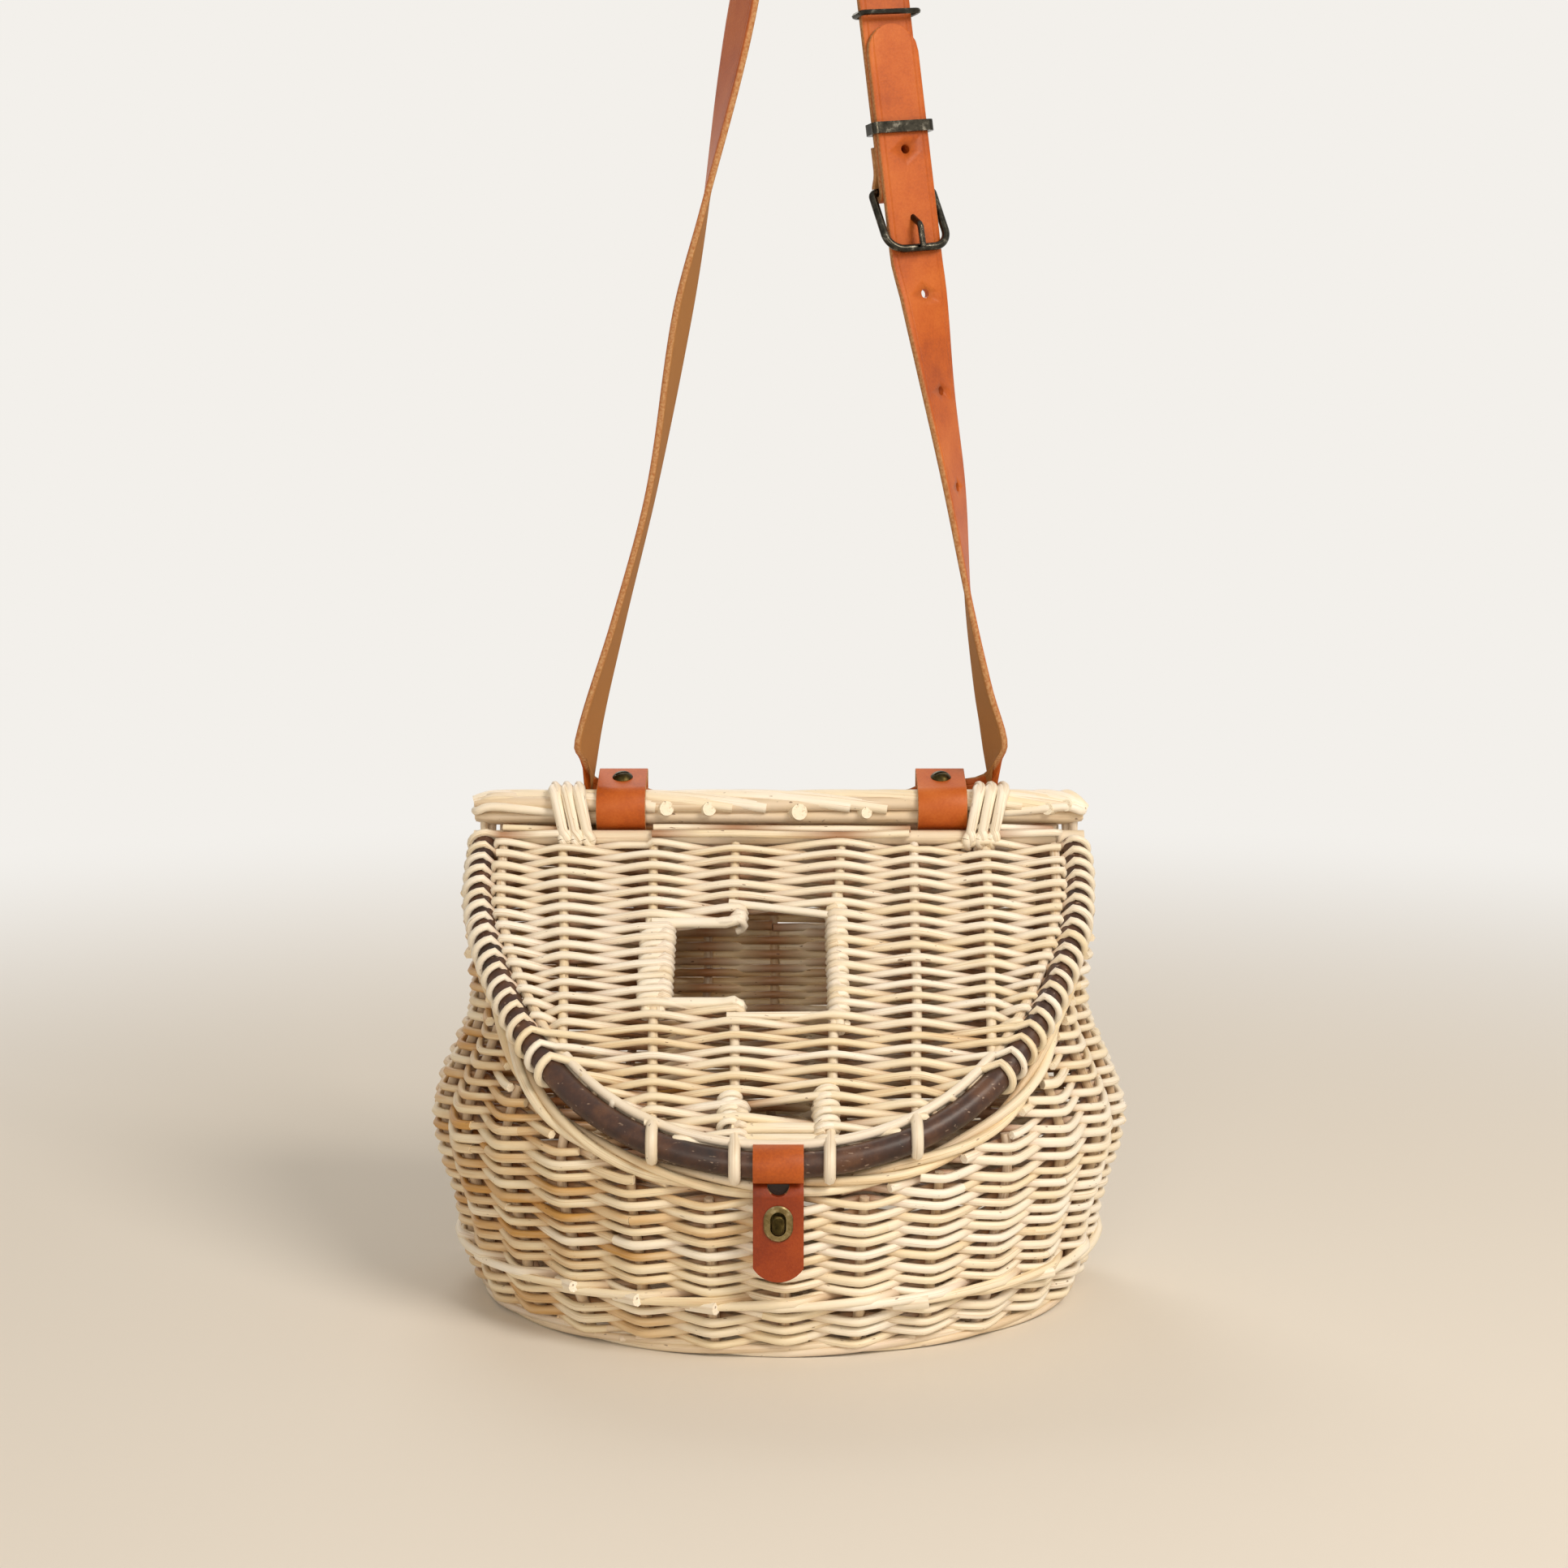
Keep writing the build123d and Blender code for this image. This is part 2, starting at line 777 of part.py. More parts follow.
def make_latch_eyelet():
    """Oval metal plate with its barrel through the leather and a washer behind."""
    face = tongue_middle + tongue_leather / 2 + seat
    back = tongue_middle - tongue_leather / 2 - seat
    with BuildPart() as eyelet:
        with BuildSketch(eyelet_plane(face)):
            SlotOverall(eyelet_height, eyelet_width, rotation=90)
        extrude(amount=eyelet_thickness)
        chamfer(eyelet.faces().sort_by(Axis.Y)[0].edges(), eyelet_bevel)
        with BuildSketch(eyelet_plane(back)):
            SlotOverall(
                slot_height + 2 * eyelet_barrel, slot_width + 2 * eyelet_barrel, rotation=90
            )
        extrude(amount=face - back)
        with BuildSketch(eyelet_plane(back)):
            SlotOverall(
                eyelet_height - eyelet_washer_less, eyelet_width - eyelet_washer_less,
                rotation=90,
            )
        extrude(amount=-eyelet_washer)
        with BuildSketch(eyelet_plane(back)):
            SlotOverall(slot_height, slot_width, rotation=90)
        extrude(amount=full_reach, both=True, mode=Mode.SUBTRACT)
    save(eyelet, "latch_eyelet")


def make_lock_plate():
    """Oval plate on the weave, with a stem through the wall that the button turns in."""
    with BuildPart() as plate:
        with BuildSketch(eyelet_plane(lock_out)):
            SlotOverall(lock_plate_height, lock_plate_width, rotation=90)
        extrude(amount=lock_plate_thickness)
        chamfer(plate.faces().sort_by(Axis.Y)[0].edges(), lock_plate_bevel)
        with BuildSketch(eyelet_plane(lock_out)):
            Circle(lock_stem / 2)
        extrude(amount=-lock_stem_length)
        with BuildSketch(eyelet_plane(lock_out - lock_stem_length + lock_stem / 2)):
            Circle(button_post / 2 + button_fit)
        extrude(amount=full_reach, mode=Mode.SUBTRACT)
    save(plate, "lock_plate")


def make_lock_washer():
    """Washer inside the basket that clamps the lock's stem."""
    out = lock_out - wall - 2 * seat - lock_slack
    with BuildPart() as washer:
        with BuildSketch(eyelet_plane(out)):
            Circle(lock_plate_height / 2)
            Circle(lock_stem / 2 + seat, mode=Mode.SUBTRACT)
        extrude(amount=-lock_plate_thickness)
        chamfer(washer.faces().sort_by(Axis.Y)[-1].edges(), lock_plate_bevel)
    save(washer, "lock_washer")


def make_turn_button():
    """Post in the lock's stem with a rounded bar across its end."""
    start = lock_out - lock_stem_length + lock_stem / 2 + rest_gap
    base = tongue_middle + tongue_leather / 2 + seat + eyelet_thickness + rest_gap
    with BuildPart() as button:
        with BuildSketch(eyelet_plane(start)):
            Circle(button_post / 2)
        extrude(amount=base - start)
        with BuildSketch(eyelet_plane(base)):
            SlotOverall(button_length, button_width, rotation=90)
        extrude(amount=button_thickness)
        fillet(button.faces().sort_by(Axis.Y)[0].edges(), button_round)
    save(button, "turn_button")


# ---- Shoulder strap ----

strap_up = Vector(-sin(radians(strap_lean)), 0, cos(radians(strap_lean)))
level_across = Vector(cos(radians(strap_turn)), sin(radians(strap_turn)), 0)
strap_across = (level_across - strap_up * level_across.dot(strap_up)).normalized()
strap_plane = Plane(
    origin=(buckle_x, wall_y - buckle_out, buckle_height),
    x_dir=strap_across,
    z_dir=strap_across.cross(strap_up),
)
inner_layer = -(strap_leather + layer_gap)
heel_bar = Vector(buckle_length / 2, inner_layer - buckle_wire / 2 - seat - strap_leather / 2)
front_bar = Vector(-buckle_length / 2, strap_leather / 2 + front_bar_gap + buckle_wire / 2)
# Cross-section plane of the straight part: distance up the strap as x, out of it as y
strap_side = Plane(
    origin=strap_plane.origin, x_dir=strap_plane.y_dir, z_dir=strap_plane.x_dir
)


def across_strap(up, depth=0.0):
    """Plane square across the straight part of the strap."""
    origin = strap_plane.origin + strap_plane.y_dir * up + strap_plane.z_dir * depth
    return Plane(origin=origin, x_dir=-strap_plane.x_dir, z_dir=strap_plane.y_dir)


def strap_section(x, out, height, edge_angle, travel, rise=0.0):
    """Plane across the strap.  The edge angle says which way its front edge looks,
    90 straight out of the wall, and the rise tips that edge up."""
    flat = cos(radians(rise))
    edge = Vector(
        cos(radians(edge_angle)) * flat, -sin(radians(edge_angle)) * flat, sin(radians(rise))
    )
    way = Vector(*travel).normalized()
    edge = (edge - way * edge.dot(way)).normalized()
    return Plane(origin=(x, wall_y - out, height), x_dir=edge, z_dir=way)


def branch(stops, first, last):
    """Sections down or up one side of the strap, each square to the way it goes."""
    start = first.origin
    way = last.origin - start
    points = [
        start + Vector(way.X * share + aside, way.Y * (i + 1) / (len(stops) + 1), way.Z * share)
        for i, (share, aside, _) in enumerate(stops)
    ]
    chain = [start] + points + [last.origin]
    sections = [first]
    for i, (_, _, angle) in enumerate(stops):
        along = chain[i + 2] - chain[i]
        point = points[i]
        sections.append(
            strap_section(point.X, wall_y - point.Y, point.Z, angle, (along.X, along.Y, along.Z))
        )
    return sections + [last]


def loft_through(sections):
    """Strap lofted through its sections in order."""
    with BuildPart() as span:
        for plane in sections:
            with BuildSketch(plane):
                Rectangle(strap_width, strap_leather)
        loft()
    return span.part


def corner_sections(x, tab_edge, side):
    """Where the strap leaves a tab's loop and turns up, on the left (-1) or right (1)."""
    flat = strap_back + strap_leather / 2
    edge = tab_edge + side * rest_gap
    reach = x - edge
    return [
        strap_section(edge, flat, strap_behind_height, 90, (1, 0, 0), 90),
        strap_section(
            edge + reach * corner_share, flat + corner_out, strap_behind_height + corner_lift, 90,
            (0.67, side * 0.67, side * 0.21), 80,
        ),
        strap_section(
            x, flat + corner_middle_out, strap_behind_height + corner_middle_rise, 90,
            (0, side * 0.74, side * 0.67), 48,
        ),
        strap_section(
            x - side * 1.0, strap_out, strap_behind_height + corner_rise,
            90 - side * 18, (-side * 0.03, 0, side),
        ),
    ]


def make_shoulder_strap():
    left_tab_edge = left_tab_x - tab_width / 2
    right_tab_edge = right_tab_x + tab_width / 2
    left_corner = corner_sections(left_strap_x, left_tab_edge, -1)
    right_corner = corner_sections(right_strap_x, right_tab_edge, 1)
    round_peg = peg_radius + strap_leather / 2
    start_angle, end_angle = strap_lean, 180 - left_lean
    peg_start = strap_section(
        peg_x + round_peg * cos(radians(start_angle)), strap_out,
        peg_height + round_peg * sin(radians(start_angle)), 90,
        (-sin(radians(start_angle)), 0, cos(radians(start_angle))),
    )
    peg_end = strap_section(
        peg_x + round_peg * cos(radians(end_angle)), strap_out,
        peg_height + round_peg * sin(radians(end_angle)), 90,
        (-sin(radians(end_angle)), 0, cos(radians(end_angle))),
    )
    top = across_strap(straight_top_up, inner_layer)
    low = across_strap(straight_bottom_up)
    right = branch(right_side + right_holes, right_corner[3], low)
    with BuildPart() as strap:
        # the end folded round the buckle's heel bar, and up as the inner layer
        with BuildSketch(strap_side):
            with BuildLine():
                turn = strap_leather / 2 + seat + buckle_wire / 2
                back_layer = inner_layer - strap_leather - layer_gap
                Line(
                    (heel_bar.X + fold_length, back_layer),
                    (heel_bar.X + fold_length / 2, back_layer),
                )
                Spline(
                    (heel_bar.X + fold_length / 2, back_layer),
                    (heel_bar.X, heel_bar.Y - turn),
                    tangents=[(-1, 0), (-1, 0)],
                )
                CenterArc((heel_bar.X, heel_bar.Y), turn, 270, -180)
                Line((heel_bar.X, inner_layer), (straight_top_up, inner_layer))
            trace(line_width=strap_leather)
        extrude(amount=strap_width / 2, both=True)
        # over the peg
        add(loft_through(branch(above_keepers, top, peg_start)))
        with BuildLine(Plane.XZ.offset(strap_out - wall_y)) as over:
            CenterArc((peg_x, peg_height), round_peg, start_angle, end_angle - start_angle)
        with BuildSketch(peg_start):
            Rectangle(strap_width, strap_leather)
        sweep(path=over.line)
        # down the left side, behind the basket and up the right side
        add(loft_through(branch(left_side, peg_end, left_corner[3])))
        add(loft_through(left_corner[::-1]))
        with BuildSketch(left_corner[0]):
            Rectangle(strap_width, strap_leather)
        extrude(amount=right_corner[0].origin.X - left_corner[0].origin.X)
        add(loft_through(right_corner))
        add(loft_through(right))
        # through the buckle to the rounded tip
        with BuildSketch(strap_plane.offset(-strap_leather / 2)):
            with BuildLine():
                half = strap_width / 2
                Polyline(
                    (-half, tip_up - half), (-half, straight_bottom_up),
                    (half, straight_bottom_up), (half, tip_up - half),
                )
                ThreePointArc((half, tip_up - half), (0, tip_up), (-half, tip_up - half))
            make_face()
        extrude(amount=strap_leather)
        cut_strap_holes(right[-1 - len(right_holes):-1])
    save(strap, "shoulder_strap")


def rivet_places():
    return (-rivet_apart / 2, rivet_up), (rivet_apart / 2, rivet_up)


def cut_strap_holes(sections):
    """Holes for the prong, the rivets and the wearer's choice of length."""
    for section in sections:
        with BuildSketch(Plane(origin=section.origin, z_dir=section.y_dir)) as spare:
            Circle(strap_hole / 2)
        extrude(spare.sketch, amount=strap_leather, both=True, mode=Mode.SUBTRACT)
    with BuildSketch(strap_plane.offset(inner_layer + strap_leather / 2 + seat)) as riveted:
        with Locations(*rivet_places()):
            Circle(rivet_post / 2 + seat)
    extrude(riveted.sketch, amount=-4 * strap_leather, mode=Mode.SUBTRACT)
    with BuildSketch(strap_plane) as punched:
        with Locations((0, upper_hole_up)):
            Circle(strap_hole / 2)
    extrude(punched.sketch, amount=strap_leather, both=True, mode=Mode.SUBTRACT)
    with BuildSketch(strap_plane.offset(heel_bar.Y - buckle_wire * 2)) as slot:
        with Locations((0, heel_bar.X - 1)):
            Rectangle(fold_slot, fold_slot_length)
    extrude(slot.sketch, amount=inner_layer + strap_leather / 2 - heel_bar.Y
            + buckle_wire * 2 + seat, mode=Mode.SUBTRACT)
    with BuildSketch(strap_plane) as prong_hole:
        SlotOverall(prong_slot, prong_wire + prong_play, rotation=90)
    extrude(prong_hole.sketch, amount=strap_leather, both=True, mode=Mode.SUBTRACT)


def make_buckle_frame():
    """Wire frame: heel bar behind the strap, front bar over it."""
    span = heel_bar - front_bar
    length = span.length
    middle = (heel_bar + front_bar) * 0.5
    half = strap_width / 2 + buckle_side_gap + buckle_wire / 2
    origin = strap_side.from_local_coords(Vector(middle.X, middle.Y, 0))
    along = strap_side.x_dir * (span.X / length) + strap_side.y_dir * (span.Y / length)
    plane = Plane(origin=origin, x_dir=strap_plane.x_dir, z_dir=strap_plane.x_dir.cross(along))
    top, low = length / 2, -length / 2
    with BuildPart() as frame:
        with BuildLine(plane) as ring:
            FilletPolyline(
                (-half, top), (-half, low), (half, low), (half, top),
                radius=(heel_corner, buckle_corner, buckle_corner, heel_corner), close=True,
            )
        with BuildSketch(Plane(origin=ring.line @ 0, z_dir=ring.line % 0)):
            Circle(buckle_wire / 2)
        sweep(path=ring.line)
    save(frame, "buckle_frame")


def make_buckle_prong():
    """Eye round the heel bar and a bent shank through the strap onto the front bar."""
    bore = buckle_wire / 2 + prong_fit
    start = heel_bar.X - bore - prong_wire / 2 - layer_gap
    rest = front_bar.Y + buckle_wire / 2 + prong_wire / 2 + prong_lift
    with BuildPart() as prong:
        with BuildLine(strap_side) as shank:
            FilletPolyline(
                (start, heel_bar.Y + prong_fold),
                (prong_reach, inner_layer - prong_dip),
                (-prong_reach, rest - prong_dip),
                (front_bar.X, rest),
                radius=prong_bend,
            )
        with BuildSketch(Plane(origin=shank.line @ 0, z_dir=shank.line % 0)):
            Circle(prong_wire / 2)
        sweep(path=shank.line)
        with BuildSketch(strap_side):
            with Locations((heel_bar.X, heel_bar.Y)):
                Circle(bore + prong_eye)
        extrude(amount=prong_wire / 2, both=True)
        with BuildSketch(strap_side):
            with Locations((heel_bar.X, heel_bar.Y)):
                Circle(bore)
        extrude(amount=prong_wire, both=True, mode=Mode.SUBTRACT)
    save(prong, "buckle_prong")


def keeper_room():
    """Inside of a keeper: its width, depth and the middle of its depth."""
    width = strap_width + 2 * keeper_gap
    depth = 2 * strap_leather + layer_gap + 2 * keeper_gap
    return width, depth, -inner_layer / 2


def make_lower_keeper():
    width, depth, middle = keeper_room()
    thick = keeper_band_thickness
    with BuildPart() as keeper:
        with BuildSketch(across_strap(lower_keeper_up)):
            with Locations((0, -middle)):
                RectangleRounded(width + 2 * thick, depth + 2 * thick, keeper_corner + thick)
                RectangleRounded(width, depth, keeper_corner, mode=Mode.SUBTRACT)
        extrude(amount=keeper_band / 2, both=True)
    save(keeper, "keeper_lower")


def make_upper_keeper():
    width, depth, middle = keeper_room()
    half = width / 2 + keeper_wire / 2
    deep = depth / 2 + keeper_wire / 2
    with BuildPart() as keeper:
        with BuildLine(across_strap(upper_keeper_up)) as ring:
            FilletPolyline(
                (-half, -middle - deep), (-half, -middle + deep),
                (half, -middle + deep), (half, -middle - deep),
                radius=keeper_corner + keeper_wire / 2, close=True,
            )
        with BuildSketch(Plane(origin=ring.line @ 0, z_dir=ring.line % 0)):
            RegularPolygon(keeper_wire / 2, keeper_sides)
        sweep(path=ring.line)
    save(keeper, "keeper_upper")


def make_fold_rivets():
    """Two small rivets through the folded end and the strap."""
    face = inner_layer + strap_leather / 2 + rivet_press
    back = inner_layer - 1.5 * strap_leather - layer_gap - seat
    with BuildPart() as rivets:
        with BuildSketch(strap_plane.offset(back)):
            with Locations(*rivet_places()):
                Circle(rivet_post / 2)
        extrude(amount=face - back)
        with BuildSketch(strap_plane.offset(back)):
            with Locations(*rivet_places()):
                Circle(rivet_head / 2)
        extrude(amount=-rivet_head_height)
    save(rivets, "fold_rivets")


make_foot_border()
make_base_panel()
make_lower_wale()
make_side_wall()
make_rim_border()
make_back_border()
make_lid_bow()
make_lid_back_rod()
make_lid_sticks()
make_hole_bindings()
make_lid_weave()
make_hinge_loops(left_loops_x, "hinge_loops_left")
make_hinge_loops(right_loops_x, "hinge_loops_right")
make_strap_loop(left_tab_x, "strap_loop_left")
make_strap_loop(right_tab_x, "strap_loop_right")
make_loop_screw(left_tab_x, "loop_screw_left")
make_loop_screw(right_tab_x, "loop_screw_right")
make_latch_tongue()
make_latch_eyelet()
make_lock_plate()
make_lock_washer()
make_turn_button()
make_shoulder_strap()
make_buckle_frame()
make_buckle_prong()
make_lower_keeper()
make_upper_keeper()
make_fold_rivets()
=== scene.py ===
# Wicker fishing creel: willow weave, leather and brass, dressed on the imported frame. Sizes are in mm
# and become metres in place() and in the finished meshes.
import math
import random

import bmesh
import bpy
import numpy as np
from mathutils import Matrix, Vector


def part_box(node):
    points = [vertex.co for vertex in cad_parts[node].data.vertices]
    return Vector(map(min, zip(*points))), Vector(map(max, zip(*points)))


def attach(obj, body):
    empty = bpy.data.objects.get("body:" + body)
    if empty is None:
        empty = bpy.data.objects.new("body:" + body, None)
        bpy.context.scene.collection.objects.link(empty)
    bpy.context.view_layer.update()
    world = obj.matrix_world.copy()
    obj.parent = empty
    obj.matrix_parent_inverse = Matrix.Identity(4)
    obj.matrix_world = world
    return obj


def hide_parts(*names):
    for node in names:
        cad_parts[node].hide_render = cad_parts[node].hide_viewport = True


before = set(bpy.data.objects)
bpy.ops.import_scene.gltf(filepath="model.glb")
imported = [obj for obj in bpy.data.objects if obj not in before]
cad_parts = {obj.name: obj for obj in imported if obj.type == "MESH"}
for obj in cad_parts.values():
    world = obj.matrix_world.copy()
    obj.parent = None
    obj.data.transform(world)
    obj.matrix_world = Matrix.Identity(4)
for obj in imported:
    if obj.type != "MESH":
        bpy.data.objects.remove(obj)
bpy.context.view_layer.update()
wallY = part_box("strap_loop_left")[1].y * 1000  # the plane of the wall, in mm
print("frame loaded, wall plane at", round(wallY, 2), "mm")


def linearColour(code):
    # an sRGB hex value, turned to linear
    parts = [int(code[i:i + 2], 16) / 255 for i in (1, 3, 5)]
    return [p / 12.92 if p <= 0.04045 else ((p + 0.055) / 1.055) ** 2.4 for p in parts] + [1.0]


def addNode(tree, kind, settings=None, links=None):
    # settings are sockets by name or number, properties, or the stops of a colour ramp
    node = tree.nodes.new("ShaderNode" + kind)
    for name, value in (settings or {}).items():
        if name == "stops":
            stops = node.color_ramp.elements
            while len(stops) < len(value):
                stops.new(0.5)
            for stop, (position, colour) in zip(stops, value):
                stop.position = position
                stop.color = linearColour(colour)
        elif isinstance(name, int) or name in node.inputs:
            node.inputs[name].default_value = value
        else:
            setattr(node, name, value)
    for name, source in (links or {}).items():
        tree.links.new(source, node.inputs[name])
    return node


def newMaterial(name, **surface):
    material = bpy.data.materials.new(name)
    material.use_nodes = True
    tree = material.node_tree
    shader = tree.nodes["Principled BSDF"]
    for socket, value in surface.items():
        shader.inputs[socket].default_value = value
    return material, tree, shader


def place(x, out, height):
    # mm across, out from the wall and up, to metres in the frame
    x, out, height = np.broadcast_arrays(x, out, height)
    return np.stack([x, wallY - out, height], axis=-1) / 1000


def addObject(name, data):
    piece = bpy.data.objects.new(name, data)
    bpy.context.scene.collection.objects.link(piece)
    return piece


def meshPiece(name, work, *materials):
    # a finished bmesh, made an object at the origin
    mesh = bpy.data.meshes.new(name)
    work.to_mesh(mesh)
    work.free()
    for material in materials:
        mesh.materials.append(material)
    return addObject(name, mesh)


def rod(points, radius, tint, depth=0.0):
    # points in metres, radius in mm, tint 0 pale to 1 golden, and depth, the painted shade from 0 in front to
    # 1 behind its neighbours; all but the points are one value, or one for each point
    return {"points": points, "radius": radius, "tint": tint, "depth": depth}


def someTint(rng, middle, spread, low=0.0, high=0.9):
    return min(max(rng.gauss(middle, spread), low), high)


def strandPiece(name, strands, material, sides=1):
    # rods as round tubes in one mesh, with their tint, painted-shade depth and own lengthwise space as
    # attributes
    curve = bpy.data.curves.new(name, "CURVE")
    curve.dimensions = "3D"
    curve.bevel_depth = 1.0
    curve.bevel_resolution = sides
    curve.use_fill_caps = True
    counts = []
    for strand in strands:
        points = strand["points"]
        radius = np.broadcast_to(np.asarray(strand["radius"], float) / 1000, len(points))
        spline = curve.splines.new("POLY")
        spline.points.add(len(points) - 1)
        spline.points.foreach_set("co", np.c_[points, np.ones(len(points))].ravel())
        spline.points.foreach_set("radius", radius)
        counts.append(len(points))
    holder = bpy.data.objects.new(name + "Curve", curve)
    mesh = bpy.data.meshes.new_from_object(holder)
    bpy.data.objects.remove(holder)
    # each strand has a ring at every point and one more at each capped end
    rings = sum(counts) + 2 * len(counts)
    around = len(mesh.vertices) // rings
    if around * rings != len(mesh.vertices):
        print("warning: ring count of", name, len(mesh.vertices), sum(counts))
    # the caps come first, last strand's end cap foremost, then the strands in order
    tint, depth, space = [], [], []
    ringTurn = np.arange(around) * 2 * math.pi / around
    caps = [(strand, end) for strand in strands[::-1] for end in (-1, 0)]
    for strand, end in caps + [(strand, None) for strand in strands]:
        steps = np.linalg.norm(np.diff(strand["points"], axis=0), axis=1)
        # the tint also moves each rod to another part of the grain
        along = np.concatenate([[0], np.cumsum(steps)]) + float(np.mean(strand["tint"])) * 7
        tints = np.broadcast_to(strand["tint"], len(along))
        shadeDepths = np.broadcast_to(strand["depth"], len(along))
        if end is not None:
            along, tints, shadeDepths = along[[end]], tints[[end]] * 0.5, shadeDepths[[end]]
        turned = np.tile(ringTurn, len(along))
        space.append(np.stack([np.repeat(along, around), np.cos(turned), np.sin(turned)], -1))
        tint.append(np.repeat(tints, around))
        depth.append(np.repeat(shadeDepths, around))
    for label, kind, values in (("strandTint", "FLOAT", tint), ("strandDepth", "FLOAT", depth),
                                ("strandSpace", "FLOAT_VECTOR", space)):
        layer = mesh.attributes.new(label, kind, "POINT")
        layer.data.foreach_set("vector" if kind == "FLOAT_VECTOR" else "value",
                               np.concatenate(values).astype(np.float32).ravel())
    mesh.polygons.foreach_set("use_smooth", [len(p.vertices) == 4 for p in mesh.polygons])
    mesh.materials.append(material)
    print(name, len(strands), "strands", len(mesh.polygons), "faces")
    return addObject(name, mesh)


def settle(piece, body, slot, *nodes):
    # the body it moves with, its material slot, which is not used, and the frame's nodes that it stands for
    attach(piece, body)
    if nodes:
        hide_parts(*nodes)


def overUnder(count):
    # nearly straight between crossings, rounded where it bends over: 1 at even places, -1 at odd
    return np.arcsin(0.965 * np.cos(math.pi * count)) / math.asin(0.965)


def wobble(values, rng, size, length):
    # slow random drift of a rod, in mm
    waves = [(rng.uniform(0.6, 1.6) / length, rng.uniform(0, 6.28), rng.uniform(0.4, 1.0))
             for _ in range(3)]
    return size * sum(a * np.sin(2 * math.pi * f * values + p) for f, p, a in waves) / 1.6


def makeWillow(name, pale, mid, deep, shade):
    # Peeled willow, stripped and dried: smooth satin skin, pale cream to straw, fine lengthwise grain, small
    # bud scars, and a painted golden shade where a rod dives behind its neighbour.
    grainSize = 0.35  # mm between grain lines, drawn a little coarser than real
    material, tree, shader = newMaterial(name, Roughness=0.42, IOR=1.48)
    space = addNode(tree, "Attribute", {"attribute_name": "strandSpace"})
    tint = addNode(tree, "Attribute", {"attribute_name": "strandTint"})
    depth = addNode(tree, "Attribute", {"attribute_name": "strandDepth"})
    lengthwise = addNode(tree, "Mapping", {"Scale": (18, 1.2 / grainSize, 1.2 / grainSize)},
                         {"Vector": space.outputs["Vector"]})
    grain = addNode(tree, "TexNoise", {"Scale": 1.0, "Detail": 4.0, "Roughness": 0.6},
                    {"Vector": lengthwise.outputs[0]})
    # patches about 30 mm long, where the skin dried darker
    patchMap = addNode(tree, "Mapping", {"Scale": (30, 0.5, 0.5)}, {"Vector": space.outputs["Vector"]})
    patch = addNode(tree, "TexNoise", {"Scale": 1.0, "Detail": 2.0}, {"Vector": patchMap.outputs[0]})
    patchShift = addNode(tree, "Math", {"operation": "MULTIPLY_ADD", 1: 0.75, 2: -0.36},
                         {0: patch.outputs["Fac"]})
    tone = addNode(tree, "Math", {"operation": "ADD"},
                   {0: patchShift.outputs[0], 1: tint.outputs["Fac"]})
    ramp = addNode(tree, "ValToRGB", {"stops": [(0.0, pale), (0.55, mid), (1.0, deep)]},
                   {"Fac": tone.outputs[0]})
    streak = addNode(tree, "ValToRGB", {"stops": [(0.30, "#c2995c"), (0.44, "#ffffff")]},
                     {"Fac": grain.outputs["Fac"]})
    streaked = addNode(tree, "Mix", {"data_type": "RGBA", "blend_type": "MULTIPLY", 0: 0.55},
                       {6: ramp.outputs[0], 7: streak.outputs[0]})
    # bud scars and nicks: sparse dark ticks, a millimetre or two long
    scarMap = addNode(tree, "Mapping", {"Scale": (260, 1.4, 1.4)}, {"Vector": space.outputs["Vector"]})
    scar = addNode(tree, "TexNoise", {"Scale": 1.0, "Detail": 1.0}, {"Vector": scarMap.outputs[0]})
    scarMask = addNode(tree, "MapRange", {1: 0.735, 2: 0.79, 3: 0.0, 4: 0.75},
                       {0: scar.outputs["Fac"]})
    scarred = addNode(tree, "Mix", {"data_type": "RGBA", 7: linearColour("#6e4a26")},
                      {0: scarMask.outputs[0], 6: streaked.outputs[2]})
    # painted shade: the colour is multiplied toward the shade colour by each rod's depth
    shadeDarkened = addNode(tree, "Mix",
                       {"data_type": "RGBA", "blend_type": "MULTIPLY", 7: linearColour(shade)},
                       {0: depth.outputs["Fac"], 6: scarred.outputs[2]})
    tree.links.new(shadeDarkened.outputs[2], shader.inputs["Base Color"])
    rough = addNode(tree, "MapRange", {1: 0.3, 2: 0.7, 3: 0.3, 4: 0.5}, {0: grain.outputs["Fac"]})
    tree.links.new(rough.outputs[0], shader.inputs["Roughness"])
    bump = addNode(tree, "Bump", {"Strength": 0.35, "Distance": 0.00025},
                   {"Height": grain.outputs["Fac"]})
    tree.links.new(bump.outputs[0], shader.inputs["Normal"])
    return material


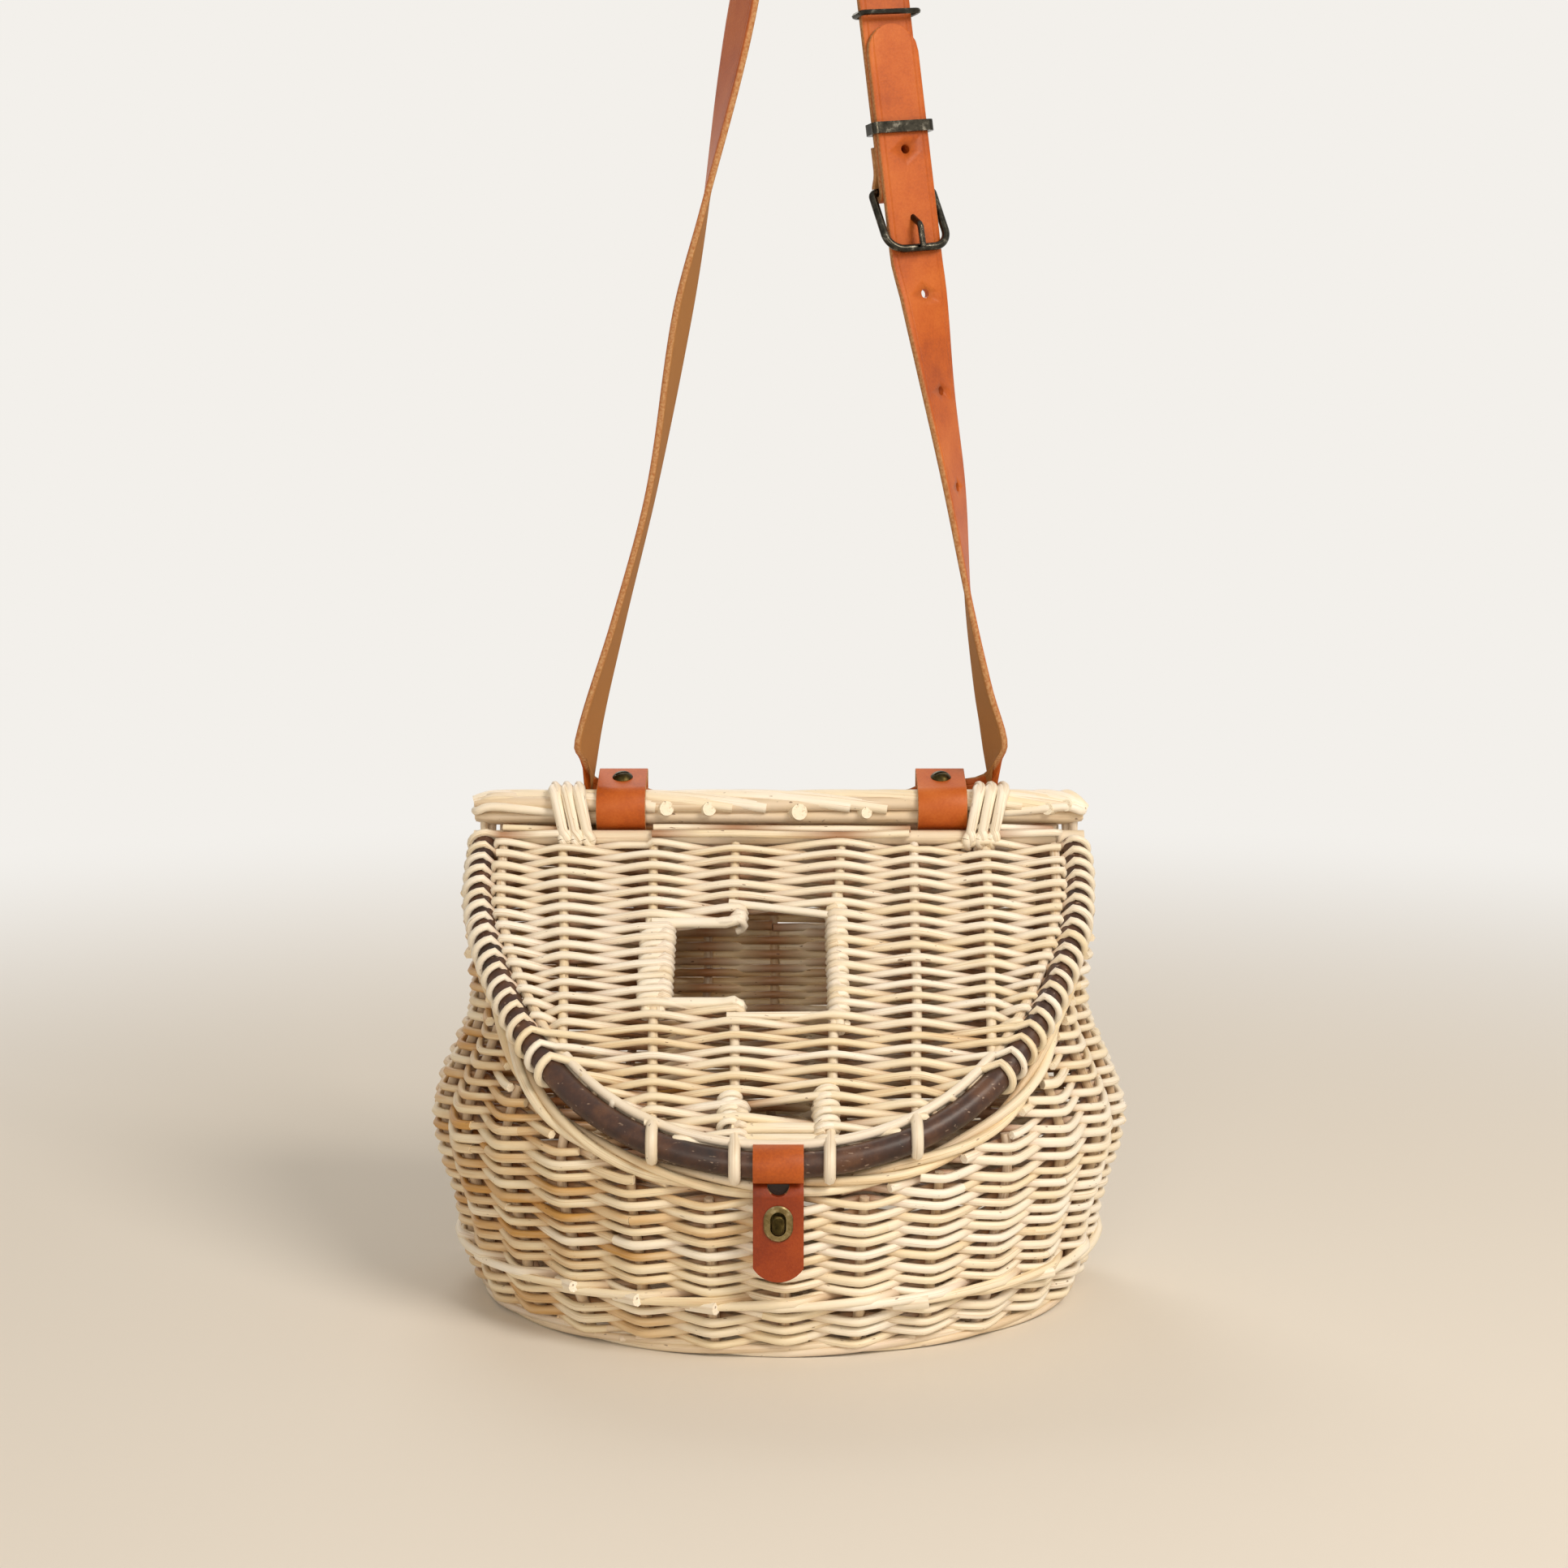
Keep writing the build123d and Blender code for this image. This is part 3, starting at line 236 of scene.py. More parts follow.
def makeBark(name):
    # Unpeeled willow: thin maroon-brown bark, smooth and faintly shiny, with pale lenticels
    # and scuffs where it has been bent.
    material, tree, shader = newMaterial(name, Roughness=0.42)
    where = addNode(tree, "TexCoord")
    broad = addNode(tree, "TexNoise", {"Scale": 60.0, "Detail": 5.0, "Roughness": 0.65},
                    {"Vector": where.outputs["Object"]})
    ramp = addNode(tree, "ValToRGB", {"stops": [(0.32, "#21120c"), (0.5, "#3f2416"), (0.68, "#5f3d26")]},
                   {"Fac": broad.outputs["Fac"]})
    stretch = addNode(tree, "Mapping", {"Scale": (240, 700, 700)}, {"Vector": where.outputs["Object"]})
    speck = addNode(tree, "TexNoise", {"Scale": 1.0, "Detail": 2.0}, {"Vector": stretch.outputs[0]})
    mask = addNode(tree, "MapRange", {1: 0.66, 2: 0.74, 3: 0.0, 4: 0.6}, {0: speck.outputs["Fac"]})
    mix = addNode(tree, "Mix", {"data_type": "RGBA", 7: linearColour("#b39a86")},
                  {0: mask.outputs[0], 6: ramp.outputs[0]})
    tree.links.new(mix.outputs[2], shader.inputs["Base Color"])
    bump = addNode(tree, "Bump", {"Strength": 0.5, "Distance": 0.0004},
                   {"Height": broad.outputs["Fac"]})
    tree.links.new(bump.outputs[0], shader.inputs["Normal"])
    return material


def makeLeather(name, dark, mid, light, edge, flesh, creaseAt):
    # Vegetable-tanned belt leather: fine pebbled grain with a waxed sheen on the outer face,
    # dull suede-like flesh side, and pale cut edges left raw.
    grainSize = 0.6  # mm across one pebble
    material, tree, shader = newMaterial(name, Roughness=0.5, IOR=1.42)
    where = addNode(tree, "TexCoord")
    side = addNode(tree, "Attribute", {"attribute_name": "leatherSide"})
    cut = addNode(tree, "Attribute", {"attribute_name": "cutEdge"})
    across = addNode(tree, "Attribute", {"attribute_name": "acrossMm"})
    pebble = addNode(tree, "TexVoronoi", {"Scale": 1000 / grainSize},
                     {"Vector": where.outputs["Object"]})
    clouds = addNode(tree, "TexNoise", {"Scale": 28.0, "Detail": 5.0, "Roughness": 0.6},
                     {"Vector": where.outputs["Object"]})
    fine = addNode(tree, "TexNoise", {"Scale": 900.0, "Detail": 3.0},
                   {"Vector": where.outputs["Object"]})
    tone = addNode(tree, "Math", {"operation": "MULTIPLY_ADD", 1: 0.25}, {0: fine.outputs["Fac"]})
    tree.links.new(clouds.outputs["Fac"], tone.inputs[2])
    ramp = addNode(tree, "ValToRGB", {"stops": [(0.42, dark), (0.62, mid), (0.82, light)]},
                   {"Fac": tone.outputs[0]})
    fleshMix = addNode(tree, "Mix", {"data_type": "RGBA", 7: linearColour(flesh)},
                       {0: side.outputs["Fac"], 6: ramp.outputs[0]})
    fuzz = addNode(tree, "ValToRGB", {"stops": [(0.3, edge), (0.75, "#cfa878")]},
                   {"Fac": fine.outputs["Fac"]})
    edgeMix = addNode(tree, "Mix", {"data_type": "RGBA"},
                      {0: cut.outputs["Fac"], 6: fleshMix.outputs[2], 7: fuzz.outputs[0]})
    tree.links.new(edgeMix.outputs[2], shader.inputs["Base Color"])
    dull = addNode(tree, "Math", {"operation": "MAXIMUM"},
                   {0: side.outputs["Fac"], 1: cut.outputs["Fac"]})
    rough = addNode(tree, "MapRange", {3: 0.50, 4: 0.9}, {0: dull.outputs[0]})
    tree.links.new(rough.outputs[0], shader.inputs["Roughness"])
    # the line pressed along each edge of the strap, creaseAt mm from its middle
    away = addNode(tree, "Math", {"operation": "ABSOLUTE"}, {0: across.outputs["Fac"]})
    off = addNode(tree, "Math", {"operation": "SUBTRACT", 1: creaseAt}, {0: away.outputs[0]})
    near = addNode(tree, "Math", {"operation": "ABSOLUTE"}, {0: off.outputs[0]})
    line = addNode(tree, "MapRange", {1: 0.0, 2: 0.5, 3: 0.0, 4: 1.0}, {0: near.outputs[0]})
    height = addNode(tree, "Math", {"operation": "MULTIPLY_ADD", 1: 0.22},
                     {0: pebble.outputs["Distance"]})
    tree.links.new(line.outputs[0], height.inputs[2])
    bump = addNode(tree, "Bump", {"Strength": 0.5, "Distance": 0.0004}, {"Height": height.outputs[0]})
    tree.links.new(bump.outputs[0], shader.inputs["Normal"])
    return material


def makeMetal(name, dark, mid, worn, roughness, wear):
    # Plated cast metal: blackened by the bath, rubbed brighter in patches by use.
    material, tree, shader = newMaterial(name, Metallic=1.0, Roughness=roughness)
    where = addNode(tree, "TexCoord")
    patch = addNode(tree, "TexNoise", {"Scale": 220.0, "Detail": 6.0, "Roughness": 0.7},
                    {"Vector": where.outputs["Object"]})
    ramp = addNode(tree, "ValToRGB", {"stops": [(0.3, dark), (0.55, mid), (wear, worn)]},
                   {"Fac": patch.outputs["Fac"]})
    tree.links.new(ramp.outputs[0], shader.inputs["Base Color"])
    rough = addNode(tree, "MapRange", {3: roughness - 0.08, 4: roughness + 0.16},
                    {0: patch.outputs["Fac"]})
    tree.links.new(rough.outputs[0], shader.inputs["Roughness"])
    bump = addNode(tree, "Bump", {"Strength": 0.15, "Distance": 0.0001},
                   {"Height": patch.outputs["Fac"]})
    tree.links.new(bump.outputs[0], shader.inputs["Normal"])
    return material


willow = makeWillow("peeledWillow", "#fdf6e8", "#f4e4c2", "#cc9a50", "#a0642a")
cutWood = makeWillow("cutWillowEnd", "#fbf3df", "#f4e6c6", "#e3cb9a", "#d8b98a")
bark = makeBark("unpeeledWillow")
noCrease = 99.0  # mm, past the edge of any piece
leather = makeLeather("vegetableTannedLeather", "#9c4410", "#bb5a18", "#ca6c28", "#a8683a", "#a8743f", 9.7)
tongueLeather = makeLeather("oiledLatchLeather", "#702706", "#8d3409", "#a44512", "#8e5024", "#a96f3e",
                            noCrease)
brass = makeMetal("antiqueBrass", "#1f1a0e", "#4b4022", "#8a7a48", 0.34, 0.78)
rubbedBrass = makeMetal("rubbedBrassEyelet", "#5a4a26", "#93825a", "#cfc19a", 0.26, 0.72)
gunmetal = makeMetal("gunmetalPlate", "#24231f", "#423f37", "#8a867a", 0.22, 0.72)
print("finishes made")

# the basket in mm, as the frame has it: levels are height, half width and reach from the wall
body = {
    "levels": [(0.0, 135.5, 152.0), (28.0, 144.0, 161.0), (80.0, 155.4, 168.0), (134.0, 138.3, 165.0),
               (173.0, 143.0, 162.0), (210.5, 141.0, 160.0)],
    "backGap": 8.0, "backCorner": 26.0, "frontStart": 40.0, "wall": 10.0,
    "stakes": 24, "stakeRadius": 2.45, "stakeShift": -0.095,
    "weaverRadius": 1.86, "thinnest": 0.90, "thickest": 1.12, "butt": 1.12, "taper": 0.22, "thickBack": 0.14,
    "lowPitch": 2.6, "highPitch": 3.3, "swing": 4.3, "dip": 1.7, "drift": 0.62,
    "lowRows": (7.2, 22.0), "sideRows": (28.8, 205.0),
    # the side weave's top: behind the border, at its corners, elsewhere, and beneath the lid's plane
    "backTop": 205.5, "backUntil": 14.0, "cornerTop": 201.0, "cornerUntil": 18.5, "sideTop": 200.0,
    "underLid": 10.3,
}
# the lid: sticks run from their place at the hinge to their place at 170 mm down the slope
lid = {
    "hingeOut": 27.0, "hingeHeight": 198.0, "slope": math.radians(38.9), "width": 278.0,
    "bowRadius": 5.35, "rodRadius": 3.5, "overhang": 4.0,
    "rowPitch": 3.55, "weaverRadius": 1.72, "stickRadius": 2.2, "stickLength": 170.0, "bareFrom": 137.0,
    "edgeStick": 3.6, "rodHalf": 138.6, "drift": 0.5, "sample": 2.2,
    # rows in mm down the slope: the first, those laid over the rod or wrapped on the bow, and the last
    "firstRow": -1.2, "overRod": 4.0, "wrappedFrom": 2.0, "beforeBow": 5.0,
    "tabs": (-72.0, 74.5), "tabHalf": 13.5, "underTab": 12.0,
    "sticks": [(-98.0, -87.0), (-57.0, -51.0), (-20.0, -17.7), (28.0, 20.7), (61.5, 56.4), (94.0, 88.0)],
}


def bodySize(height):
    # half width and reach from the wall, eased from level to level
    levels = body["levels"]
    for low, high in zip(levels, levels[1:]):
        if height <= high[0] or high is levels[-1]:
            share = min(max((height - low[0]) / (high[0] - low[0]), 0.0), 1.0)
            ease = share * share * (3 - 2 * share)
            return low[1] + (high[1] - low[1]) * ease, low[2] + (high[2] - low[2]) * ease


outlines = {}


def outlineAt(height):
    # half-turn outline from the middle of the back round the right side to the middle of the front
    key = round(float(height), 1)
    if key not in outlines:
        half, reach = bodySize(key)
        corner, back, front = body["backCorner"], body["backGap"], body["frontStart"]
        arc = np.radians(np.linspace(0, 90, 12))
        sweep = np.radians(np.linspace(0, 90, 60))
        x = np.r_[np.linspace(0, half - corner, 20), half - corner + corner * np.sin(arc),
                  half * np.cos(sweep)]
        out = np.r_[np.full(20, back), back + corner - corner * np.cos(arc),
                    front + (reach - front) * np.sin(sweep)]
        keep = np.r_[True, np.hypot(np.diff(x), np.diff(out)) > 1e-6]
        x, out = x[keep], out[keep]
        length = np.r_[0, np.cumsum(np.hypot(np.diff(x), np.diff(out)))]
        outlines[key] = (x, out, length)
    return outlines[key]


def wallPath(turn, height, inward):
    # turn counts rounds of the body from the middle of its back, inward is mm in from the outside
    turn, height, inward = np.broadcast_arrays((turn + 0.5) % 1.0 - 0.5, height, inward)
    flat = np.empty((len(turn), 2))
    side = 0.8  # mm to each side, to find the wall's direction
    for i in range(len(turn)):
        x, out, length = outlineAt(height[i])
        spot = min(abs(turn[i]) * 2, 1.0) * length[-1]
        near = [np.interp(s, length, v) for s in (spot - side, spot + side) for v in (x, out)]
        along = np.array([near[2] - near[0], near[3] - near[1]])
        if spot < side or spot > length[-1] - side:
            along = np.array([1.0, 0.0]) * (1 if spot < side else -1)
        along /= np.hypot(*along)
        inside = np.array([-along[1], along[0]])
        here = np.array([np.interp(spot, length, x), np.interp(spot, length, out)]) + inside * inward[i]
        flat[i] = here[0] * (1 if turn[i] >= 0 else -1), here[1]
    return place(flat[:, 0], flat[:, 1], height)


def lidPoint(x, fall, high):
    # in the lid's plane: across, down the slope from the hinge, and up out of the plane
    slope = lid["slope"]
    return place(x, lid["hingeOut"] + np.asarray(fall) * math.cos(slope) + np.asarray(high) * math.sin(slope),
                 lid["hingeHeight"] - np.asarray(fall) * math.sin(slope) + np.asarray(high) * math.cos(slope))


def mouthFall(angle, drop):
    # where a plane this far beneath the lid meets the basket's side: half width, and mm down the slope
    slope = lid["slope"]
    height = body["levels"][2][0]
    for _ in range(40):
        half, reach = bodySize(height)
        out = body["frontStart"] + (reach - body["frontStart"]) * math.sin(math.radians(angle))
        fall = (out - lid["hingeOut"] + drop * math.sin(slope)) / math.cos(slope)
        height = lid["hingeHeight"] - fall * math.sin(slope) - drop * math.cos(slope)
    return half * math.cos(math.radians(angle)), fall


lid["bowFall"] = mouthFall(90, 0)[1] - lid["bowRadius"] + lid["overhang"]
bowStart = lid["rodRadius"] + 0.15


def smoothLine(points, count):
    # even samples on a smooth curve through the points
    points = np.asarray(points, float)
    ends = np.vstack([2 * points[0] - points[1], points, 2 * points[-1] - points[-2]])
    pieces = []
    for i in range(len(points) - 1):
        a, b, c, d = ends[i:i + 4]
        t = np.linspace(0, 1, 24, endpoint=False)[:, None]
        pieces.append(0.5 * (2 * b + (c - a) * t + (2 * a - 5 * b + 4 * c - d) * t ** 2
                             + (3 * b - a - 3 * c + d) * t ** 3))
    line = np.vstack(pieces + [points[-1:]])
    length = np.r_[0, np.cumsum(np.linalg.norm(np.diff(line, axis=0), axis=1))]
    spots = np.linspace(0, length[-1], count)
    return np.stack([np.interp(spots, length, line[:, k]) for k in range(line.shape[1])], -1)


def throughPoints(points, count):
    # natural cubic curve through the points, as the frame's bow is drawn, in even steps
    points = np.asarray(points, float)
    stops = np.r_[0, np.cumsum(np.linalg.norm(np.diff(points, axis=0), axis=1))]
    gap = np.diff(stops)
    size = len(points)
    left, right = np.eye(size), np.zeros((size, 2))
    for i in range(1, size - 1):
        left[i, i - 1:i + 2] = gap[i - 1] / 6, (gap[i - 1] + gap[i]) / 3, gap[i] / 6
        right[i] = (points[i + 1] - points[i]) / gap[i] - (points[i] - points[i - 1]) / gap[i - 1]
    bend = np.linalg.solve(left, right)
    spots = np.linspace(0, stops[-1], count)
    k = np.clip(np.searchsorted(stops, spots) - 1, 0, size - 2)
    a, b, h = (stops[k + 1] - spots)[:, None], (spots - stops[k])[:, None], gap[k][:, None]
    return ((bend[k] * a ** 3 + bend[k + 1] * b ** 3) / (6 * h)
            + (points[k] / h - bend[k] * h / 6) * a + (points[k + 1] / h - bend[k + 1] * h / 6) * b)


# the bow's middle line in the lid's plane, and its right half from the front up
bowHalf = lid["width"] / 2 - lid["bowRadius"]
bowLength = lid["bowFall"] - bowStart
bowShares = [(1.0, 0.0), (0.985, 0.22), (0.90, 0.45), (0.765, 0.66), (0.56, 0.85), (0.30, 0.963), (0.0, 1.0)]
rightBow = [(bowHalf * x, bowStart + bowLength * y) for x, y in bowShares]
bowLine = throughPoints([(-x, y) for x, y in rightBow] + rightBow[::-1][1:], 401)
halfBow = bowLine[200:][::-1]


def bowAt(fall):
    # half width of the lid at the bow's middle, this far down the slope
    return np.interp(fall, halfBow[:, 1], halfBow[:, 0])


def wallTop(out):
    # upper limit of the side weave: up to the border at the back, under the rim elsewhere
    slope = lid["slope"]
    cut = lid["hingeHeight"] - (out - lid["hingeOut"]) * math.tan(slope) - body["underLid"] / math.cos(slope)
    side = np.where(out < body["cornerUntil"], body["cornerTop"], np.minimum(cut, body["sideTop"]))
    return np.where(out < body["backUntil"], body["backTop"], side)


def sideOut(turn, height):
    # how far out from the wall the side is here
    _, out, length = outlineAt(height)
    share = np.abs((np.asarray(turn) + 0.5) % 1.0 - 0.5) * 2
    return np.interp(share * length[-1], length, out)


def shadeBehindStake(wave):
    # painted shade on a weaver, from none in front of a stake to most where it is hidden behind it
    return np.clip(0.2 - 0.75 * wave, 0, 1) * 0.85


def weaveRows(fromHeight, toHeight, row, seed):
    # rods over one stake and under the next, each row the other way about
    rng = random.Random(seed)
    count = body["stakes"]
    strands = []
    height = fromHeight
    while height < toHeight:
        upward = min(max((height - 30) / 120, 0.0), 1.0)
        places = np.linspace(0, count, count * 10 + 1)
        start = rng.randrange(count // 2) * 2
        turn = (places + start + body["stakeShift"]) / count
        inside = wallTop(sideOut(turn, height)) - height > 0.4
        wave = overUnder(places + row)
        drift = wobble(places, rng, body["drift"], count)
        thick = body["weaverRadius"] * rng.uniform(body["thinnest"], body["thickest"])
        # rods run for a few hundred millimetres, each from its butt to its thin tip
        cuts = [0]
        while cuts[-1] < count - 3:
            cuts.append(cuts[-1] + rng.randint(5, 9) * 2 + (row % 2 if len(cuts) == 1 else 0))
        cuts[-1] = count
        for low, high in zip(cuts, cuts[1:]):
            keep = np.flatnonzero((places >= low - 0.35) & (places <= high + 0.35) & inside)
            for run in np.split(keep, np.flatnonzero(np.diff(keep) > 1) + 1):
                if len(run) < 6:
                    continue
                along = (places[run] - low) / (high - low)
                if rng.random() < 0.5:
                    along = 1 - along
                radius = thick * (body["butt"] - body["taper"] * along)
                inward = body["wall"] / 2 - body["swing"] * wave[run]
                # rods that pass in front of a stake ride lower there, most of all under the belly
                dip = body["dip"] * (1 - 0.65 * min(max((height - 90) / 60, 0.0), 1.0))
                points = wallPath(turn[run], height + drift[run] - dip * wave[run], inward)
                middle = np.abs((turn[run] + 0.5) % 1.0 - 0.5)
                radius = radius * (1 + body["thickBack"] * np.clip((0.16 - middle) / 0.04, 0, 1))
                # painted shade: the rods on the basket's left side are tinted more golden than on its right
                leftSideShade = np.clip(-points[:, 0] / 0.11, -0.4, 1) * 0.36 + 0.16
                tint = np.clip(rng.gauss(0.24, 0.17) + leftSideShade, 0.0, 0.98)
                strands.append(rod(points, radius, tint, shadeBehindStake(wave[run])))
        height += body["lowPitch"] + (body["highPitch"] - body["lowPitch"]) * upward
        row += 1
    return strands


def wallStakes():
    rng = random.Random(5)
    strands = []
    for i in range(body["stakes"]):
        turn = (i + body["stakeShift"]) / body["stakes"]
        top = max(h for h in np.arange(60, 203, 1.0) if wallTop(sideOut(turn, h)) > h)
        heights = np.arange(6.0, top, 4.0)
        lean = wobble(heights, rng, 0.0012, 120)
        radius = body["stakeRadius"] * np.linspace(1.08, 0.86, len(heights))
        # a little painted shade all along each stake
        strands.append(rod(wallPath(turn + lean, heights, body["wall"] / 2), radius,
                           rng.uniform(0.2, 0.6), 0.35))
    return strands


sideRods = weaveRows(*body["sideRows"], row=0, seed=11)
settle(strandPiece("sideWeave", sideRods, willow), "basket", "peeled_willow", "side_wall")
settle(strandPiece("sideStakes", wallStakes(), willow), "basket", "peeled_willow")

wale = {
    "height": 25.4, "radius": 1.95, "slant": 6.0, "behind": 8.6, "swing": 8.9,
    # butts of new rods: place in stakes round from the middle of the back, and mm above the wale's foot
    "butts": [(12.9, 0.5), (13.95, 1.5), (14.9, 3.0), (10.1, 0.2), (8.0, 1.0), (4.1, 2.0), (20.0, 1.0)],
    "buttHeight": 24.0, "buttRadius": 2.5,
}
foot = {"height": 3.3, "inset": 4.6, "ropeRadius": 1.5, "ropeStrand": 1.75, "ropeStrands": 3, "pitch": 165.0}
base = {"inset": 9.0, "height": 5.0, "stickPitch": 35.0, "stickEnd": 105.0, "stickRadius": 2.3,
        "rowPitch": 3.3, "weaverRadius": 1.5, "swing": 2.0}


def threeRodWale(seed):
    # each rod passes in front of two stakes and behind one, a stake after its neighbour
    rng = random.Random(seed)
    strands = []
    count = body["stakes"]
    places = np.linspace(0, count, count * 10 + 1)
    for which in range(3):
        phase = (places + which) / 3 % 1.0
        front = np.clip(1.35 * np.sin(np.clip((phase - 0.08) / 0.84, 0, 1) * math.pi), 0, 1)
        high = wale["height"] + wale["slant"] * (0.5 - phase) + wobble(places, rng, 0.25, 9)
        inward = wale["behind"] - wale["swing"] * front
        for low in range(0, count, 3):
            shift = (3 - which) % 3
            keep = (places >= low + shift - 0.05) & (places <= low + shift + 3.05)
            if keep.sum() < 6:
                continue
            taper = np.linspace(1.12, 0.9, keep.sum())
            path = wallPath((places[keep] + body["stakeShift"]) / count, high[keep], inward[keep])
            # painted shade: each wale rod is darker where it passes behind a stake
            strands.append(rod(path, wale["radius"] * taper * rng.uniform(0.95, 1.05),
                               someTint(rng, 0.3, 0.2), (1 - front[keep]) * 0.7))
    return strands


def cutEnds(seed):
    # butts of rods that stick out where a new one was laid in
    rng = random.Random(seed)
    run = np.linspace(0, 0.42, 7)
    strands = []
    for spot, rise in wale["butts"]:
        path = wallPath((spot + run + body["stakeShift"]) / body["stakes"],
                        wale["buttHeight"] + rise - run * 3, -2.9 + run * 15)
        strands.append(rod(path, wale["buttRadius"] * rng.uniform(0.9, 1.1), 0.12))
    return strands


def ropeAlong(centre, acrossIn, upIn, count, ropeRadius, strandRadius, pitch, rng, tint=0.32, loosen=0.0):
    # strands laid round a line: centre in metres, and unit vectors across and up at each of its points
    length = np.r_[0, np.cumsum(np.linalg.norm(np.diff(centre, axis=0), axis=1))] * 1000
    strands = []
    for k in range(count):
        turn = 2 * math.pi * (k / count + length / pitch)
        far = ropeRadius * (1 + loosen * np.sin(length / pitch * 3.1 + k))
        across, up = (far * np.cos(turn))[:, None], (far * np.sin(turn))[:, None]
        thick = strandRadius * (1 + 0.08 * np.sin(length / pitch * 2.3 + 2 * k))
        # painted shade: each strand is darker where the twist takes it to one side of the rope
        strands.append(rod(centre + (acrossIn * across + upIn * up) / 1000, thick,
                           someTint(rng, tint, 0.16, 0.02, 0.95),
                           np.clip(0.2 - 0.3 * np.cos(turn), 0, 1) * 0.6))
    return strands


def footRope():
    rng = random.Random(31)
    turn = np.linspace(0, 1, 420)
    centre = wallPath(turn, 6.0, foot["inset"])
    centre[:, 2] = foot["height"] / 1000
    inner = wallPath(turn, 6.0, foot["inset"] + 1.0) - centre
    inner[:, 2] = 0
    inner /= np.linalg.norm(inner, axis=1)[:, None]
    up = np.tile([0.0, 0.0, 1.0], (len(turn), 1))
    return ropeAlong(centre, inner, up, foot["ropeStrands"], foot["ropeRadius"], foot["ropeStrand"],
                     foot["pitch"], rng)


def weaveBase():
    # plain weave on seven sticks that run from back to front
    rng = random.Random(41)
    x, out, _ = outlineAt(10.0)
    inset, end, pitch = base["inset"], base["stickEnd"], base["stickPitch"]
    strands = []
    for across in np.arange(-end, end + 1, pitch):
        reach = np.interp(abs(across), x[::-1][:60], out[::-1][:60]) - inset
        outs = np.linspace(body["backGap"] + inset, reach, 20)
        # painted shade: a little all along the base's sticks
        strands.append(rod(place(across, outs, base["height"]), base["stickRadius"], 0.4, 0.4))
    widest = np.argmax(x)
    row, at = 0, body["backGap"] + inset + 1.0
    while at < body["levels"][0][2] - inset:
        # the outline in front, and a near straight side between it and the back
        half = np.interp(at, out[widest:], x[widest:]) if at > body["frontStart"] else 118.0 + (at - 17) * 0.3
        half -= inset * 0.9
        xs = np.arange(-half, half, 4.0)
        wave = overUnder((xs + end) / pitch + row)
        # painted shade: a little all along each weaver
        strands.append(rod(place(xs, at, base["height"] + base["swing"] * wave), base["weaverRadius"],
                           someTint(rng, 0.35, 0.15, 0, 1), 0.25))
        at += base["rowPitch"]
        row += 1
    return strands


lowRods = weaveRows(*body["lowRows"], row=1, seed=12) + threeRodWale(22) + cutEnds(24)
settle(strandPiece("lowerWale", lowRods, willow, 2), "basket", "peeled_willow", "lower_wale")
settle(strandPiece("footBorder", footRope(), willow, 2), "basket", "peeled_willow", "foot_border")
settle(strandPiece("basePanel", weaveBase(), willow), "basket", "peeled_willow", "base_panel")

rim = {"gap": 0.4, "radius": 4.5, "inward": 5.5, "back": 4.0, "ropeRadius": 2.3, "ropeStrand": 2.05,
       "ropeStrands": 3, "pitch": 120.0}
# ends: across, height and radius of each stake cut off at the border's front
border = {"out": 17.2, "height": 210.5, "radius": 8.5, "half": 141.0,
          "fill": [(-55, 3.3), (25, 3.2), (140, 3.2), (-140, 3.2), (-90, 2.7)],
          "ends": [(-51.0, 211.2, 3.5), (-31.6, 211.0, 3.3), (9.4, 209.6, 3.9), (40.0, 209.2, 2.7),
                   (122.0, 211.0, 2.9), (130.5, 212.6, 2.8)]}


def rimRope():
    # a thin rope along the mouth, just beneath the lid's bow
    rng = random.Random(51)
    slope = lid["slope"]
    drop = lid["bowRadius"] + rim["gap"] + rim["radius"]
    points = []
    for angle in range(0, 181, 5):
        x, fall = mouthFall(angle, drop)
        share = math.sin(math.radians(angle))
        points.append((x - rim["inward"] * math.cos(math.radians(angle)), fall - rim["inward"] * share))
    start = (drop * math.sin(slope) - rim["back"]) / math.cos(slope) + 4
    points = [(points[0][0], start)] + points + [(points[-1][0], start)]
    line = smoothLine(points, 260)
    centre = lidPoint(line[:, 0], line[:, 1], -drop)
    along = np.gradient(centre, axis=0)
    along /= np.linalg.norm(along, axis=1)[:, None]
    up = np.tile(lidPoint(0.0, 0.0, 1.0) - lidPoint(0.0, 0.0, 0.0), (len(line), 1)) * 1000
    inner = np.cross(up, along)
    return ropeAlong(centre, inner, up, rim["ropeStrands"], rim["ropeRadius"], rim["ropeStrand"],
                     rim["pitch"], rng, tint=0.42, loosen=0.12)


